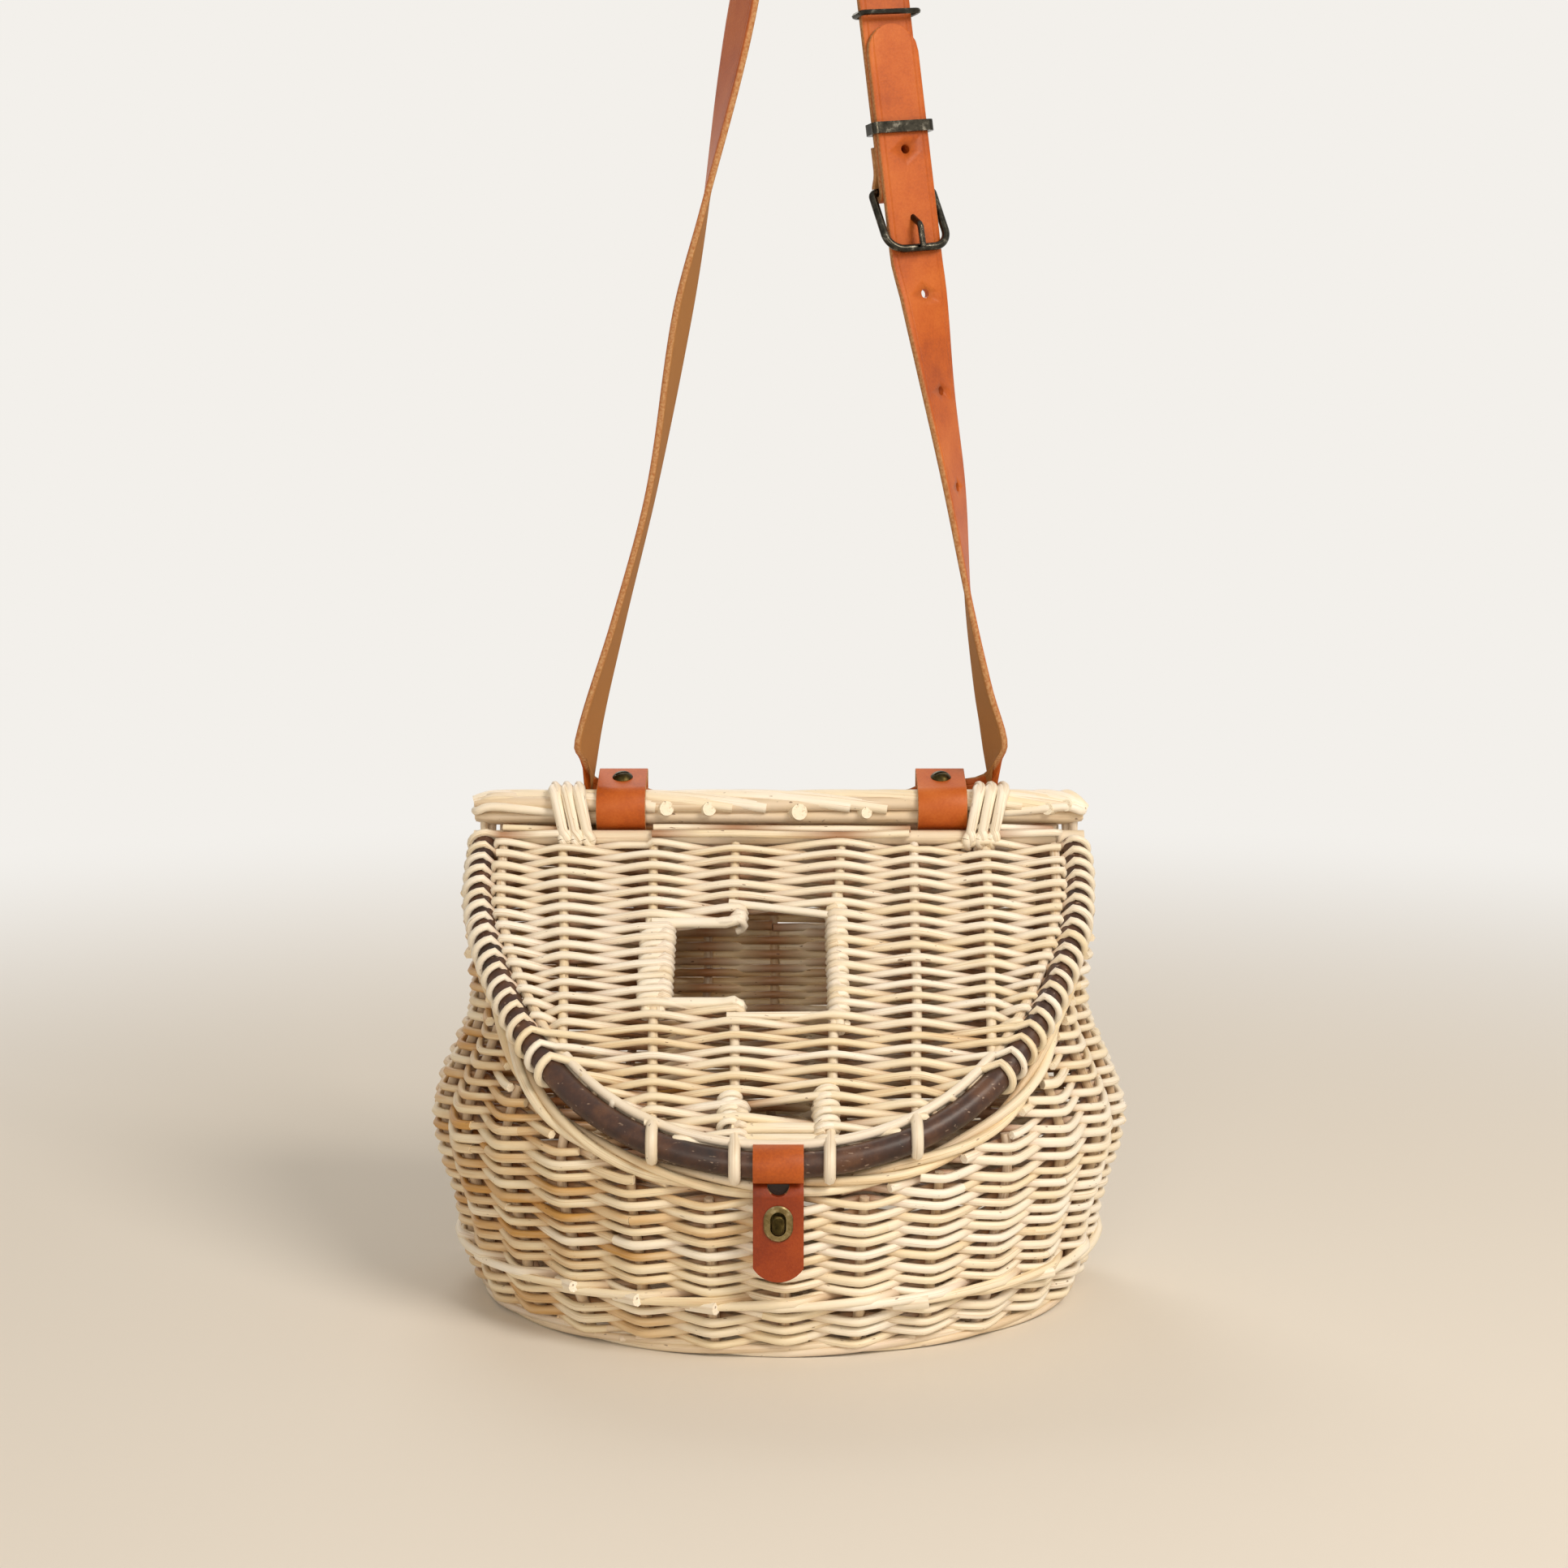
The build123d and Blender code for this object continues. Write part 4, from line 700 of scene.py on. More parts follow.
def backBundle():
    rng = random.Random(61)
    strands = []
    half = border["half"]
    # rods laid over one another, each rising from behind, crossing the top and ending in front
    for first in np.arange(-half - 60, half - 10, 27.0):
        last = min(first + rng.uniform(125, 165), half - 1)
        begin = max(first, -half + 1)
        xs = np.linspace(begin, last, 34)
        share = (xs - first) / (last - first)
        turn = np.radians(215 - 205 * share + rng.uniform(-8, 8))
        size = rng.uniform(3.0, 3.5) * (1.1 - 0.25 * share)
        far = border["radius"] - size - 0.1
        edge = np.clip((half - np.abs(xs)) / 9.0, 0, 1) ** 0.5
        outs = border["out"] + far * np.cos(turn) * (0.55 + 0.45 * edge)
        heights = border["height"] + far * np.sin(turn) * (0.45 + 0.55 * edge)
        # painted shade: each rod is darker where it runs on the bundle's underside
        strands.append(rod(place(xs, outs, heights), size * (0.75 + 0.25 * edge),
                           someTint(rng, 0.26, 0.13, 0.02), np.clip(-np.sin(turn), 0, 1) * 0.5))
    # rods laid along the whole length fill the bundle
    for turn, size in border["fill"]:
        xs = np.linspace(-half + 2, half - 2, 60)
        far = border["radius"] - size - 0.6
        edge = np.clip((half - np.abs(xs)) / 10.0, 0.05, 1) ** 0.5
        angle = math.radians(turn) + wobble(xs, rng, 0.16, 200)
        path = place(xs, border["out"] + far * np.cos(angle), border["height"] + far * np.sin(angle))
        # a little painted shade all along the filling rods
        strands.append(rod(path, size * edge, rng.uniform(0.15, 0.45), 0.25))
    return strands


def cornerEdge(out):
    # the side of the basket near its back corner, this far out from the wall
    corner = body["backCorner"]
    return border["half"] - corner * (1 - math.sqrt(1 - ((body["backGap"] + corner - out) / corner) ** 2))


# each rod's place out from the wall along the border, and how far it comes down the side
corners = {"rods": [(24.2, 24), (21.0, 34), (17.4, 28), (13.6, 38), (10.4, 26)], "farthest": 16.0,
           "turnedBack": 2, "butt": 2.5, "tip": 1.9}


def cornerRods():
    # the border's last rods turn down round the basket's upper corners and end in its sides
    rng = random.Random(63)
    strands = []
    for side in (-1, 1):
        for k, (out, drop) in enumerate(corners["rods"]):
            lift = 5.2 - 0.09 * (out - border["out"]) ** 2
            # they lean back as they come down, clear of the lid's rod
            back = min(out, corners["farthest"])
            edge, low = cornerEdge(out), cornerEdge(back)
            path = [(98, out - 3.0, 207.5 + lift), (edge - 22, out - 0.6, 209.8 + lift),
                    (edge - 8, out + 0.2, 211.0 + lift), (edge - 1.5, out - 0.5, 209.0 + lift),
                    (low * 0.4 + edge * 0.6 + 0.6, back * 0.4 + out * 0.6, 204.0), (low + 0.8, back, 196.0),
                    (low - 2.4, back + 0.6, 206.0 - drop)]
            if k < corners["turnedBack"]:
                # the front ones only turn back over the border's end
                path[4:] = [(edge - 0.4, out - 4.0, 209.5), (edge - 2.5, out - 8.0, 207.5)]
            line = smoothLine(path, 26)
            # a little painted shade, more on the rods nearer the wall
            strands.append(rod(place(side * line[:, 0], line[:, 1], line[:, 2]),
                               np.linspace(corners["butt"], corners["tip"], 26) * rng.uniform(0.92, 1.05),
                               someTint(rng, 0.2, 0.1, 0.0, 0.7), 0.05 + 0.05 * k))
    return strands


def stakeEnds():
    # butts of the stakes, cut off where they come out at the front of the border
    strands = []
    outs = np.array([14.0, 20.0, 25.6])
    back = outs[-1] - outs
    for x, height, size in border["ends"]:
        lean = 0.35 if x < 60 else -0.6
        path = place(x - lean * back, outs, height - 0.12 * back)
        strands.append(rod(path, [size, size, size * 0.97], 0.12))
    return strands


settle(strandPiece("rimBorder", rimRope(), willow, 2), "basket", "peeled_willow", "rim_border")
settle(strandPiece("backBorder", backBundle(), willow, 3), "basket", "peeled_willow", "back_border")
settle(strandPiece("borderCorners", cornerRods(), willow, 2), "basket", "peeled_willow")
settle(strandPiece("stakeEnds", stakeEnds(), cutWood, 4), "basket", "peeled_willow")

# the lid's hole and the opening behind the latch, across and down the slope in mm
hole = {"left": -46.7, "right": 22.0, "top": 43.0, "bottom": 103.0, "stepTop": 55.0, "stepBottom": 95.0,
        "stepLeft": -21.5, "pair": (-56.5, -50.4), "post": 25.8, "middle": -19.0}
latchGap = {"from": 150.5, "to": 158.5, "left": -17.0, "right": 15.0, "bareFrom": 160.0,
            "bridges": [(162.0, 2.5), (167.2, 2.3)]}


def sticksAt(fall):
    # numbered sticks that cross a row: the two edge sticks beside the bow and those between
    share = min(fall / lid["stickLength"], 1.0)
    edge = float(bowAt(fall)) - lid["bowRadius"] - lid["edgeStick"]
    middle = [(i + 1, a + (b - a) * share) for i, (a, b) in enumerate(lid["sticks"])]
    inner = [(i, x) for i, x in middle if abs(x) < edge - 8]
    return inner[0][0], [-edge] + [x for _, x in inner] + [edge]


def wrapBow(way, fromFall, toFall, radius):
    # a weaver over the bow, down its outside and back beneath it
    turns = np.radians(np.linspace(100, -115, 12))
    falls = np.linspace(fromFall, toFall, 12)
    far = lid["bowRadius"] + radius * (0.7 if fromFall > 12 else 0.45)
    before, after = bowAt(fromFall - 3), bowAt(fromFall + 3)
    slant = (after - before) / 6
    size = math.hypot(1, slant)
    x = bowAt(falls) + far * np.cos(turns) / size
    s = falls - far * np.cos(turns) * slant / size
    return [(way * a, b, c) for a, b, c in zip(x, s, far * np.sin(turns))]


def weaveLid():
    rng = random.Random(71)
    strands = []
    points, sizes, shadeDepths = [], [], []
    thick = lid["weaverRadius"]

    def put(x, fall, high, size, depth):
        points.append((x, fall, high))
        sizes.append(size)
        shadeDepths.append(depth)

    def close():
        # one rod ends here
        if len(points) > 4:
            strands.append(rod(lidPoint(*np.array(points).T), sizes[:], someTint(rng, 0.22, 0.16), shadeDepths[:]))
        for kept in (points, sizes, shadeDepths):
            kept.clear()

    def roundEdge(x, fall, way, far, leaving, size):
        # the weaver bends round a stick at the hole's edge
        for turn in ((75, 40, 0, -40, -80) if leaving else (-80, -40, 0, 40, 75)):
            a = math.radians(turn)
            # a little painted shade where it bends round the stick
            put(x + way * far * math.cos(a), fall, far * math.sin(a), size, 0.1)

    # the first rows lie over the lid's rod
    fall, row = lid["firstRow"], 0
    while fall < lid["bowFall"] - lid["bowRadius"] - lid["beforeBow"]:
        wrapped = lid["wrappedFrom"] < fall < lid["bareFrom"]
        first, sticks = sticksAt(fall)
        way = 1 if row % 2 == 0 else -1
        edge = sticks[-1]
        reach = edge + (2.5 if wrapped else 0.5)
        xs = np.arange(-reach * way, reach * way, lid["sample"] * way)
        index = np.interp(xs, sticks, np.arange(len(sticks)))
        wave = overUnder(index) * (1 if (first + row) % 2 else -1)
        radius = thick * rng.uniform(0.92, 1.08)
        high = wave * (lid["stickRadius"] + radius - 0.2)
        if fall < lid["overRod"]:
            high = high * 0.12 + lid["rodRadius"] + radius * 0.8
        drift = wobble(xs, rng, lid["drift"], 150)
        gone = np.zeros(len(xs), bool)
        # beneath the leather tabs the first rows lie low, so the lid can swing right back
        atTab = np.min([np.abs(xs - tab) for tab in lid["tabs"]], axis=0) < lid["tabHalf"]
        if fall < lid["underTab"]:
            high = np.where(atTab, np.minimum(high, 1.2 if fall < 8 else 2.4), high)
        rightEdge = hole["post"] if fall < 120 else latchGap["right"] + 4
        if hole["top"] < fall < hole["bottom"]:
            wide = hole["stepTop"] < fall < hole["stepBottom"]
            gone = (xs > (hole["pair"][0] - 4 if wide else hole["middle"] - 3)) & (xs < hole["post"] + 3)
            leftEdge = hole["pair"][1] if wide else hole["middle"]
        if latchGap["from"] < fall < latchGap["to"] or fall > latchGap["bareFrom"]:
            gone = (xs > latchGap["left"] - 3) & (xs < latchGap["right"] + 4)
            leftEdge = latchGap["left"]
        for k, (x, z, w, off) in enumerate(zip(xs, high, wave, drift)):
            if fall < lid["overRod"] and atTab[k]:
                close()
                continue
            if gone[k]:
                if k and not gone[k - 1]:
                    roundEdge(leftEdge if way > 0 else rightEdge, fall + off, way, 4.0, True, radius)
                    close()
                continue
            if k and gone[k - 1]:
                roundEdge(rightEdge if way > 0 else leftEdge, fall + off, -way, 4.0, False, radius)
            put(x, fall + off, z, radius, float(shadeBehindStake(w)))
        if wrapped:
            for spot in wrapBow(way, fall, fall + lid["rowPitch"], radius):
                put(*spot, radius * 0.95, 0.0)
        else:
            # it turns back round the edge stick, darkened there by painted shade
            for turn in (80, 40, 0, -40, -80):
                a = math.radians(turn)
                put(way * (edge + 1.2 * math.cos(a)), fall + lid["rowPitch"] * (80 - turn) / 160,
                    2.0 * math.sin(a) - 0.8, radius * 0.9, 0.3)
        if rng.random() < 0.3:
            close()
            thick = lid["weaverRadius"] * rng.uniform(0.92, 1.1)
        fall += lid["rowPitch"]
        row += 1
    close()
    return strands


def lidSticks():
    # every stick and rod here carries a little even painted shade
    rng = random.Random(81)
    strands = []
    falls = np.linspace(4.5, lid["bowFall"], 60)
    for top, low in lid["sticks"]:
        x = top + (low - top) * falls / lid["stickLength"]
        inside = np.abs(x) < bowAt(falls) - 6
        if abs(low) < 70:
            # over the bow, round its front and back underneath
            inside = falls < lid["bowFall"] - 16 - (abs(low) / 60) ** 2 * 9
            centre = np.interp(abs(low), halfBow[::-1, 0], halfBow[::-1, 1])
            turns = np.radians(np.linspace(125, -120, 14))
            far = lid["bowRadius"] + 1.35
        else:
            centre, turns, far = 0.0, np.empty(0), 0.0
        count = int(inside.sum())
        fall = np.r_[falls[inside], centre + far * np.cos(turns)]
        high = np.r_[np.zeros(count), far * np.sin(turns)]
        across = np.r_[x[inside], np.full(len(turns), low)]
        radius = np.r_[np.full(count, lid["stickRadius"]), np.full(len(turns), 2.5)]
        gap = (fall > hole["top"] + 1) & (fall < hole["bottom"] - 1) & (across > hole["stepLeft"] - 1) & (
            across < hole["right"] - 2)
        for run in np.split(np.arange(len(fall)), np.flatnonzero(np.diff(gap.astype(int))) + 1):
            if gap[run[0]] or len(run) < 3:
                continue
            path = lidPoint(across[run] + wobble(fall[run], rng, 0.4, 120), fall[run], high[run])
            strands.append(rod(path, radius[run], rng.uniform(0.1, 0.4), 0.1))
    # the edge sticks follow the bow down to where its bare front begins
    for side in (-1, 1):
        run = np.linspace(5.0, lid["bareFrom"] + 4, 40)
        across = side * (bowAt(run) - lid["bowRadius"] - lid["edgeStick"])
        strands.append(rod(lidPoint(across, run, 0.0), 2.3, 0.25, 0.15))
    # two thinner rods go on round, inside the bare bow
    front = bowLine[bowLine[:, 1] > lid["bareFrom"] - 6]
    along = np.gradient(front, axis=0)
    along /= np.linalg.norm(along, axis=1)[:, None]
    inward = np.c_[along[:, 1], -along[:, 0]]
    inward *= np.sign(inward @ np.array([0, -1.0]) + 1e-9)[:, None]
    for away, high, tint in ((7.4, 3.4, 0.12), (8.6, -1.6, 0.3)):
        strands.append(rod(lidPoint(*(front + inward * away).T, high), 2.1, tint, 0.1))
    return strands


def coil(x, fromFall, toFall, far, radius, turns, tint, widen=0.0):
    # a thin rod wound tightly round a stick, or round a pair
    angle = np.linspace(0, turns * 2 * math.pi, int(turns * 16))
    aside = widen * np.tanh(2.2 * np.cos(angle)) / math.tanh(2.2)
    path = lidPoint(x + aside + far * np.cos(angle), np.linspace(fromFall, toFall, len(angle)),
                    far * np.sin(angle))
    # painted shade: the winding is darker where it passes under the stick
    return rod(path, radius, tint, np.clip(-0.2 - 0.5 * np.sin(angle), 0, 0.6))


def holeBindings():
    left, right, middle = hole["left"], hole["post"], hole["middle"]
    pairLeft, pairRight = hole["pair"]
    strands = []
    # sticks that stand at the hole's sides, a pair on the left and a single one on the right
    for x, fromFall, toFall, size, tint in ((pairLeft, 46, 104, 2.3, 0.12), (pairRight, 46, 104, 2.3, 0.16),
                                            (right, 34, 112, 2.4, 0.15)):
        strands.append(rod(lidPoint(x, np.linspace(fromFall, toFall, 20), 0.0), size, tint))
    strands.append(coil(right, hole["top"] - 3, hole["bottom"] + 4, 3.3, 1.5, 19, 0.13))
    strands.append(coil((pairLeft + pairRight) / 2, hole["stepTop"] - 1, hole["stepBottom"] + 2, 3.2, 1.5,
                        12, 0.1, 3.0))
    # the stepped corners are rods hooked round the stick between them
    for fall, away, tint in ((hole["stepTop"] - 2.4, -1, 0.1), (hole["stepBottom"] + 2.4, 1, 0.14)):
        xs = np.r_[np.linspace(left - 9, middle - 4, 12), middle + np.array([0.0, 2.6, 2.4, 0.0])]
        falls = fall + away * np.r_[np.zeros(12), 0.3, 1.8, 4.4, 6.5]
        strands.append(rod(lidPoint(xs, falls, np.r_[np.full(12, 1.6), 3.2, 2.6, 0.2, -2.5]), 2.4, tint))
    # thin rods lie along the upper and lower edges of the deeper part
    for start, end, tint in ((hole["top"] - 2.0, hole["top"] + 6.0, 0.1),
                             (hole["bottom"] + 1.8, hole["bottom"] + 1.4, 0.2)):
        path = lidPoint(np.linspace(middle - 3, hole["right"] + 6, 16), np.linspace(start, end, 16), 1.8)
        strands.append(rod(path, 1.8, tint))
    # windings where the middle sticks meet the front
    strands.append(coil(-20.0, 146, 163, 4.0, 1.5, 5, 0.1))
    strands.append(coil(19.8, 143, 166, 4.2, 1.6, 6, 0.12))
    # two stout rods bridge the gap behind the latch
    for fall, size in latchGap["bridges"]:
        strands.append(rod(lidPoint(np.linspace(-19, 21, 14), fall, 0.5), size, 0.3))
    return strands


hingeLine = lidPoint(np.linspace(-lid["rodHalf"], lid["rodHalf"], 80), 0.0, 0.0)
# a little painted shade all along the hinge rod
hingeRod = rod(hingeLine, lid["rodRadius"], 0.3, 0.15)
settle(strandPiece("lidBackRod", [hingeRod], willow, 3), "lid", "brown_willow", "lid_back_rod")
settle(strandPiece("lidWeave", weaveLid(), willow), "lid", "peeled_willow", "lid_weave")
settle(strandPiece("lidSticks", lidSticks(), willow, 2), "lid", "peeled_willow", "lid_sticks")
settle(strandPiece("holeBindings", holeBindings(), willow, 2), "lid", "peeled_willow", "hole_bindings")

loops = {"across": 93.2, "pitch": 5.4, "slant": 7.5, "clearance": 0.15, "rodClearance": 0.3, "ply": 1.5}


def hingeLoops(side, seed):
    # three loops of two plies each, tight behind the border and full in front
    rng = random.Random(seed)
    turn = np.linspace(0, 2 * math.pi, 72)
    toBorder = math.atan2(border["height"] - lid["hingeHeight"], border["out"] - lid["hingeOut"])
    onBorder = np.cos(turn - toBorder) > 0
    outMiddle = np.where(onBorder, border["out"], lid["hingeOut"])
    heightMiddle = np.where(onBorder, border["height"], lid["hingeHeight"])
    far = np.where(onBorder, border["radius"] + loops["clearance"] + loops["ply"],
                   lid["rodRadius"] + loops["rodClearance"] + loops["ply"])
    front = np.clip(np.cos(turn - 0.35), 0, 1)
    strands = []
    for i in range(3):
        x = side * loops["across"] + (i - 1) * loops["pitch"]
        for ply in (0, 1):
            twist = 3.0 * turn + ply * math.pi
            shift = (0.8 + 0.5 * front) * np.cos(twist)
            away = far + front + 0.5 * np.sin(twist)
            heights = heightMiddle + (far + 0.5 * np.sin(twist)) * np.sin(turn)
            slant = loops["slant"] * side * ((heights - 205) / 30)
            path = place(x + shift + slant, outMiddle + away * np.cos(turn), heights)
            # painted shade: the loops are darker where they pass behind, round the border and the rod
            strands.append(rod(path, 1.4 + 0.75 * front, rng.uniform(0.05, 0.25), (1 - front) * 0.3))
    return strands


settle(strandPiece("hingeLoopsLeft", hingeLoops(-1, 91), willow, 2), "basket", "peeled_willow",
       "hinge_loops_left")
settle(strandPiece("hingeLoopsRight", hingeLoops(1, 92), willow, 2), "basket", "peeled_willow",
       "hinge_loops_right")
print("basket and lid woven")

# the strap's route in mm: across, height and the turn of its face in degrees at each place
strap = {
    "width": 25.4, "thick": 3.0, "out": 14.6, "behind": 209.6, "wallGap": 2.15,
    "pegRadius": 12.0, "pegX": 20.0, "pegHeight": 691.0,
    "leftLean": 10.8, "leftX": -88.6, "rightX": 99.6, "rise": 33.0, "leftTab": -83.2, "rightTab": 85.7,
    "buckleX": 59.9, "buckleOut": 18.5, "buckleHeight": 477.7, "lean": 6.9, "turn": 24.0,
    "above": [(41.0, 612.0, 143.0), (37.8, 645.0, 117.0), (35.0, 672.0, 95.0)],
    "down": [(3.0, 672.0, 82.0), (-14.2, 582.5, 62.0), (-21.0, 546.6, 66.0), (-34.1, 480.0, 90.0),
             (-43.8, 434.7, 102.0), (-58.0, 355.8, 92.0), (-73.3, 296.3, 96.0)],
    "up": [(93.6, 264.5, 80.0), (86.8, 303.7, 92.0), (79.8, 356.9, 112.0), (72.2, 400.4, 125.0),
           (65.2, 444.1, 147.0)],
    "innerLayer": -3.3, "layerPitch": 3.3, "heelUp": 13.5, "heelDepth": -6.75, "heelRadius": 3.45,
    # punched holes: above the buckle, and by their height on the right branch, which lies between these
    "holes": [31.0], "lowHoles": [444.1, 400.4, 356.9], "rightBranch": (55.0, 98.0), "holeRadius": 2.1,
    # behind the border: how far across and up it is hidden, and how much narrower and lower it runs
    "hiddenHalf": 70.0, "hiddenEase": 12.0, "hiddenBelow": 230.0, "gathered": 0.2, "lowered": 3.2,
    "tip": (20, 38, 54, 68, 80, 87),  # degrees round the half circle at its end
}
lean = math.radians(strap["lean"])
strapUp = Vector((-math.sin(lean), 0, math.cos(lean)))
levelAcross = Vector((math.cos(math.radians(strap["turn"])), math.sin(math.radians(strap["turn"])), 0))
strapAcross = (levelAcross - strapUp * levelAcross.dot(strapUp)).normalized()
strapFace = strapAcross.cross(strapUp)
buckleMiddle = Vector((strap["buckleX"], wallY - strap["buckleOut"], strap["buckleHeight"]))


def strapSection(x, out, height, angle, travel, rise=0.0):
    # the strap's middle here, the direction across it and the way its grain side faces
    flat = math.cos(math.radians(rise))
    edge = Vector((math.cos(math.radians(angle)) * flat, -math.sin(math.radians(angle)) * flat,
                   math.sin(math.radians(rise))))
    way = Vector(travel).normalized()
    edge = (edge - way * edge.dot(way)).normalized()
    return Vector((x, wallY - out, height)), edge, way.cross(edge)


def straightSection(up, depth, face=None):
    # along the flat part that passes through the buckle
    origin = buckleMiddle + strapUp * up + strapFace * depth
    return origin, -strapAcross, (face or strapFace)


def branchSections(stops, first, last):
    # free stretches, spread evenly in depth from one fixed section to the next
    outs = [first[0].y + (last[0].y - first[0].y) * (i + 1) / (len(stops) + 1) for i in range(len(stops))]
    points = [Vector((s[0], y, s[1])) for s, y in zip(stops, outs)]
    chain = [first[0]] + points + [last[0]]
    return [strapSection(p.x, wallY - p.y, p.z, stop[2], chain[i + 2] - chain[i])
            for i, (p, stop) in enumerate(zip(points, stops))]


def cornerSections(x, edgeX, side):
    # out of a tab behind the border, and up into the free strap
    flat = strap["wallGap"] + strap["thick"] / 2
    edge = edgeX + side * 0.4
    reach = x - edge
    behind = strap["behind"]
    return [
        strapSection(edge, flat, behind, 90, (1, 0, 0), 90),
        strapSection(edge + reach * 0.75, flat + 0.7, behind + 3.0, 90,
                     (0.67, side * 0.67, side * 0.21), 80),
        strapSection(x, flat + 6.1, behind + 12.5, 90, (0, side * 0.74, side * 0.67), 48),
        strapSection(x - side, strap["out"], behind + strap["rise"], 90 - side * 18,
                     (-side * 0.03, 0, side)),
    ]


def strapRoute():
    route = []
    inner, heelUp, heelDepth = strap["innerLayer"], strap["heelUp"], strap["heelDepth"]
    back = inner - strap["layerPitch"]
    # the folded end behind the buckle, round the bar, and up as the inner layer
    for up, depth in ((20, back), (10, back), (6.5, back - 1.0), (3, heelDepth - 3.2)):
        route.append(straightSection(heelUp + up, depth, -strapFace))
    for turn in range(270, 80, -20):
        a = math.radians(turn)
        face = strapUp * math.cos(a) + strapFace * math.sin(a)
        route.append(straightSection(heelUp + strap["heelRadius"] * math.cos(a),
                                     heelDepth + strap["heelRadius"] * math.sin(a), face))
    route += [straightSection(up, inner) for up in (18, 30, 45, 60, 75, 90, 103)]
    around = strap["pegRadius"] + strap["thick"] / 2
    peg = []
    for turn in np.linspace(strap["lean"], 180 - strap["leftLean"], 9):
        a = math.radians(turn)
        peg.append(strapSection(strap["pegX"] + around * math.cos(a), strap["out"],
                                strap["pegHeight"] + around * math.sin(a), 90,
                                (-math.sin(a), 0, math.cos(a))))
    leftCorner = cornerSections(strap["leftX"], strap["leftTab"], -1)
    rightCorner = cornerSections(strap["rightX"], strap["rightTab"], 1)
    low = straightSection(-20, 0)
    route += branchSections(strap["above"], route[-1], peg[0]) + peg
    route += branchSections(strap["down"], peg[-1], leftCorner[3]) + leftCorner[::-1]
    flat = strap["wallGap"] + strap["thick"] / 2
    route += [strapSection(x, flat, strap["behind"], 90, (1, 0, 0), 90) for x in (-45, 0, 45)]
    route += rightCorner + branchSections(strap["up"], rightCorner[3], low)
    return route + [straightSection(up, 0) for up in (-20, -8, 4, 16, 30, 45, 60, 74.3)]


def smoothRoute(route, step):
    # rows of middle, edge direction and face direction on a smooth curve through the route's sections
    origins, edges, faces = (np.array([list(section[k]) for section in route]) for k in range(3))
    length = np.r_[0, np.cumsum(np.linalg.norm(np.diff(origins, axis=0), axis=1))]
    both = np.c_[origins, edges * 20, faces * 20]
    ends = np.vstack([2 * both[0] - both[1], both, 2 * both[-1] - both[-2]])
    stops = np.r_[-length[1], length, 2 * length[-1] - length[-2]]
    rows = []
    for i in range(len(route) - 1):
        a, b, c, d = ends[i:i + 4]
        ta, tb, tc, td = stops[i:i + 4]
        gap = tc - tb
        slopeB = (c - a) / (tc - ta)
        slopeC = (d - b) / (td - tb)
        for t in np.linspace(0, 1, max(int(gap / step), 2), endpoint=False):
            h00, h10 = 2 * t ** 3 - 3 * t ** 2 + 1, t ** 3 - 2 * t ** 2 + t
            h01, h11 = -2 * t ** 3 + 3 * t ** 2, t ** 3 - t ** 2
            rows.append(h00 * b + h10 * gap * slopeB + h01 * c + h11 * gap * slopeC)
    return np.array(rows + [both[-1]])


def punchPlaces(rows):
    # hole 31 mm above the buckle, three spare ones below it
    places = [(buckleMiddle + strapUp * up, strapFace) for up in strap["holes"]]
    low, high = strap["rightBranch"]
    branch = rows[(rows[:, 0] > low) & (rows[:, 0] < high)]
    for height in strap["lowHoles"]:
        row = branch[np.argmin(np.abs(branch[:, 2] - height))]
        places.append((Vector(row[:3]), Vector(row[6:9]).normalized()))
    return places


def punchHoles(piece, rows):
    # round punches through the strap, cut with a Boolean and then put away
    work = bmesh.new()
    for middle, face in punchPlaces(rows):
        turned = face.to_track_quat("Z", "Y").to_matrix().to_4x4()
        bmesh.ops.create_cone(work, cap_ends=True, segments=20, radius1=strap["holeRadius"] / 1000,
                              radius2=strap["holeRadius"] / 1000, depth=0.012,
                              matrix=Matrix.Translation(middle / 1000) @ turned)
    punch = meshPiece("punch", work, leather)
    cutter = piece.modifiers.new("punched", "BOOLEAN")
    cutter.operation = "DIFFERENCE"
    cutter.solver = "EXACT"
    cutter.object = punch
    bpy.context.view_layer.update()
    punched = bpy.data.meshes.new_from_object(piece.evaluated_get(bpy.context.evaluated_depsgraph_get()))
    piece.modifiers.clear()
    print("strap faces before and after its holes", len(piece.data.polygons), len(punched.polygons))
    piece.data = punched
    bpy.data.objects.remove(punch)


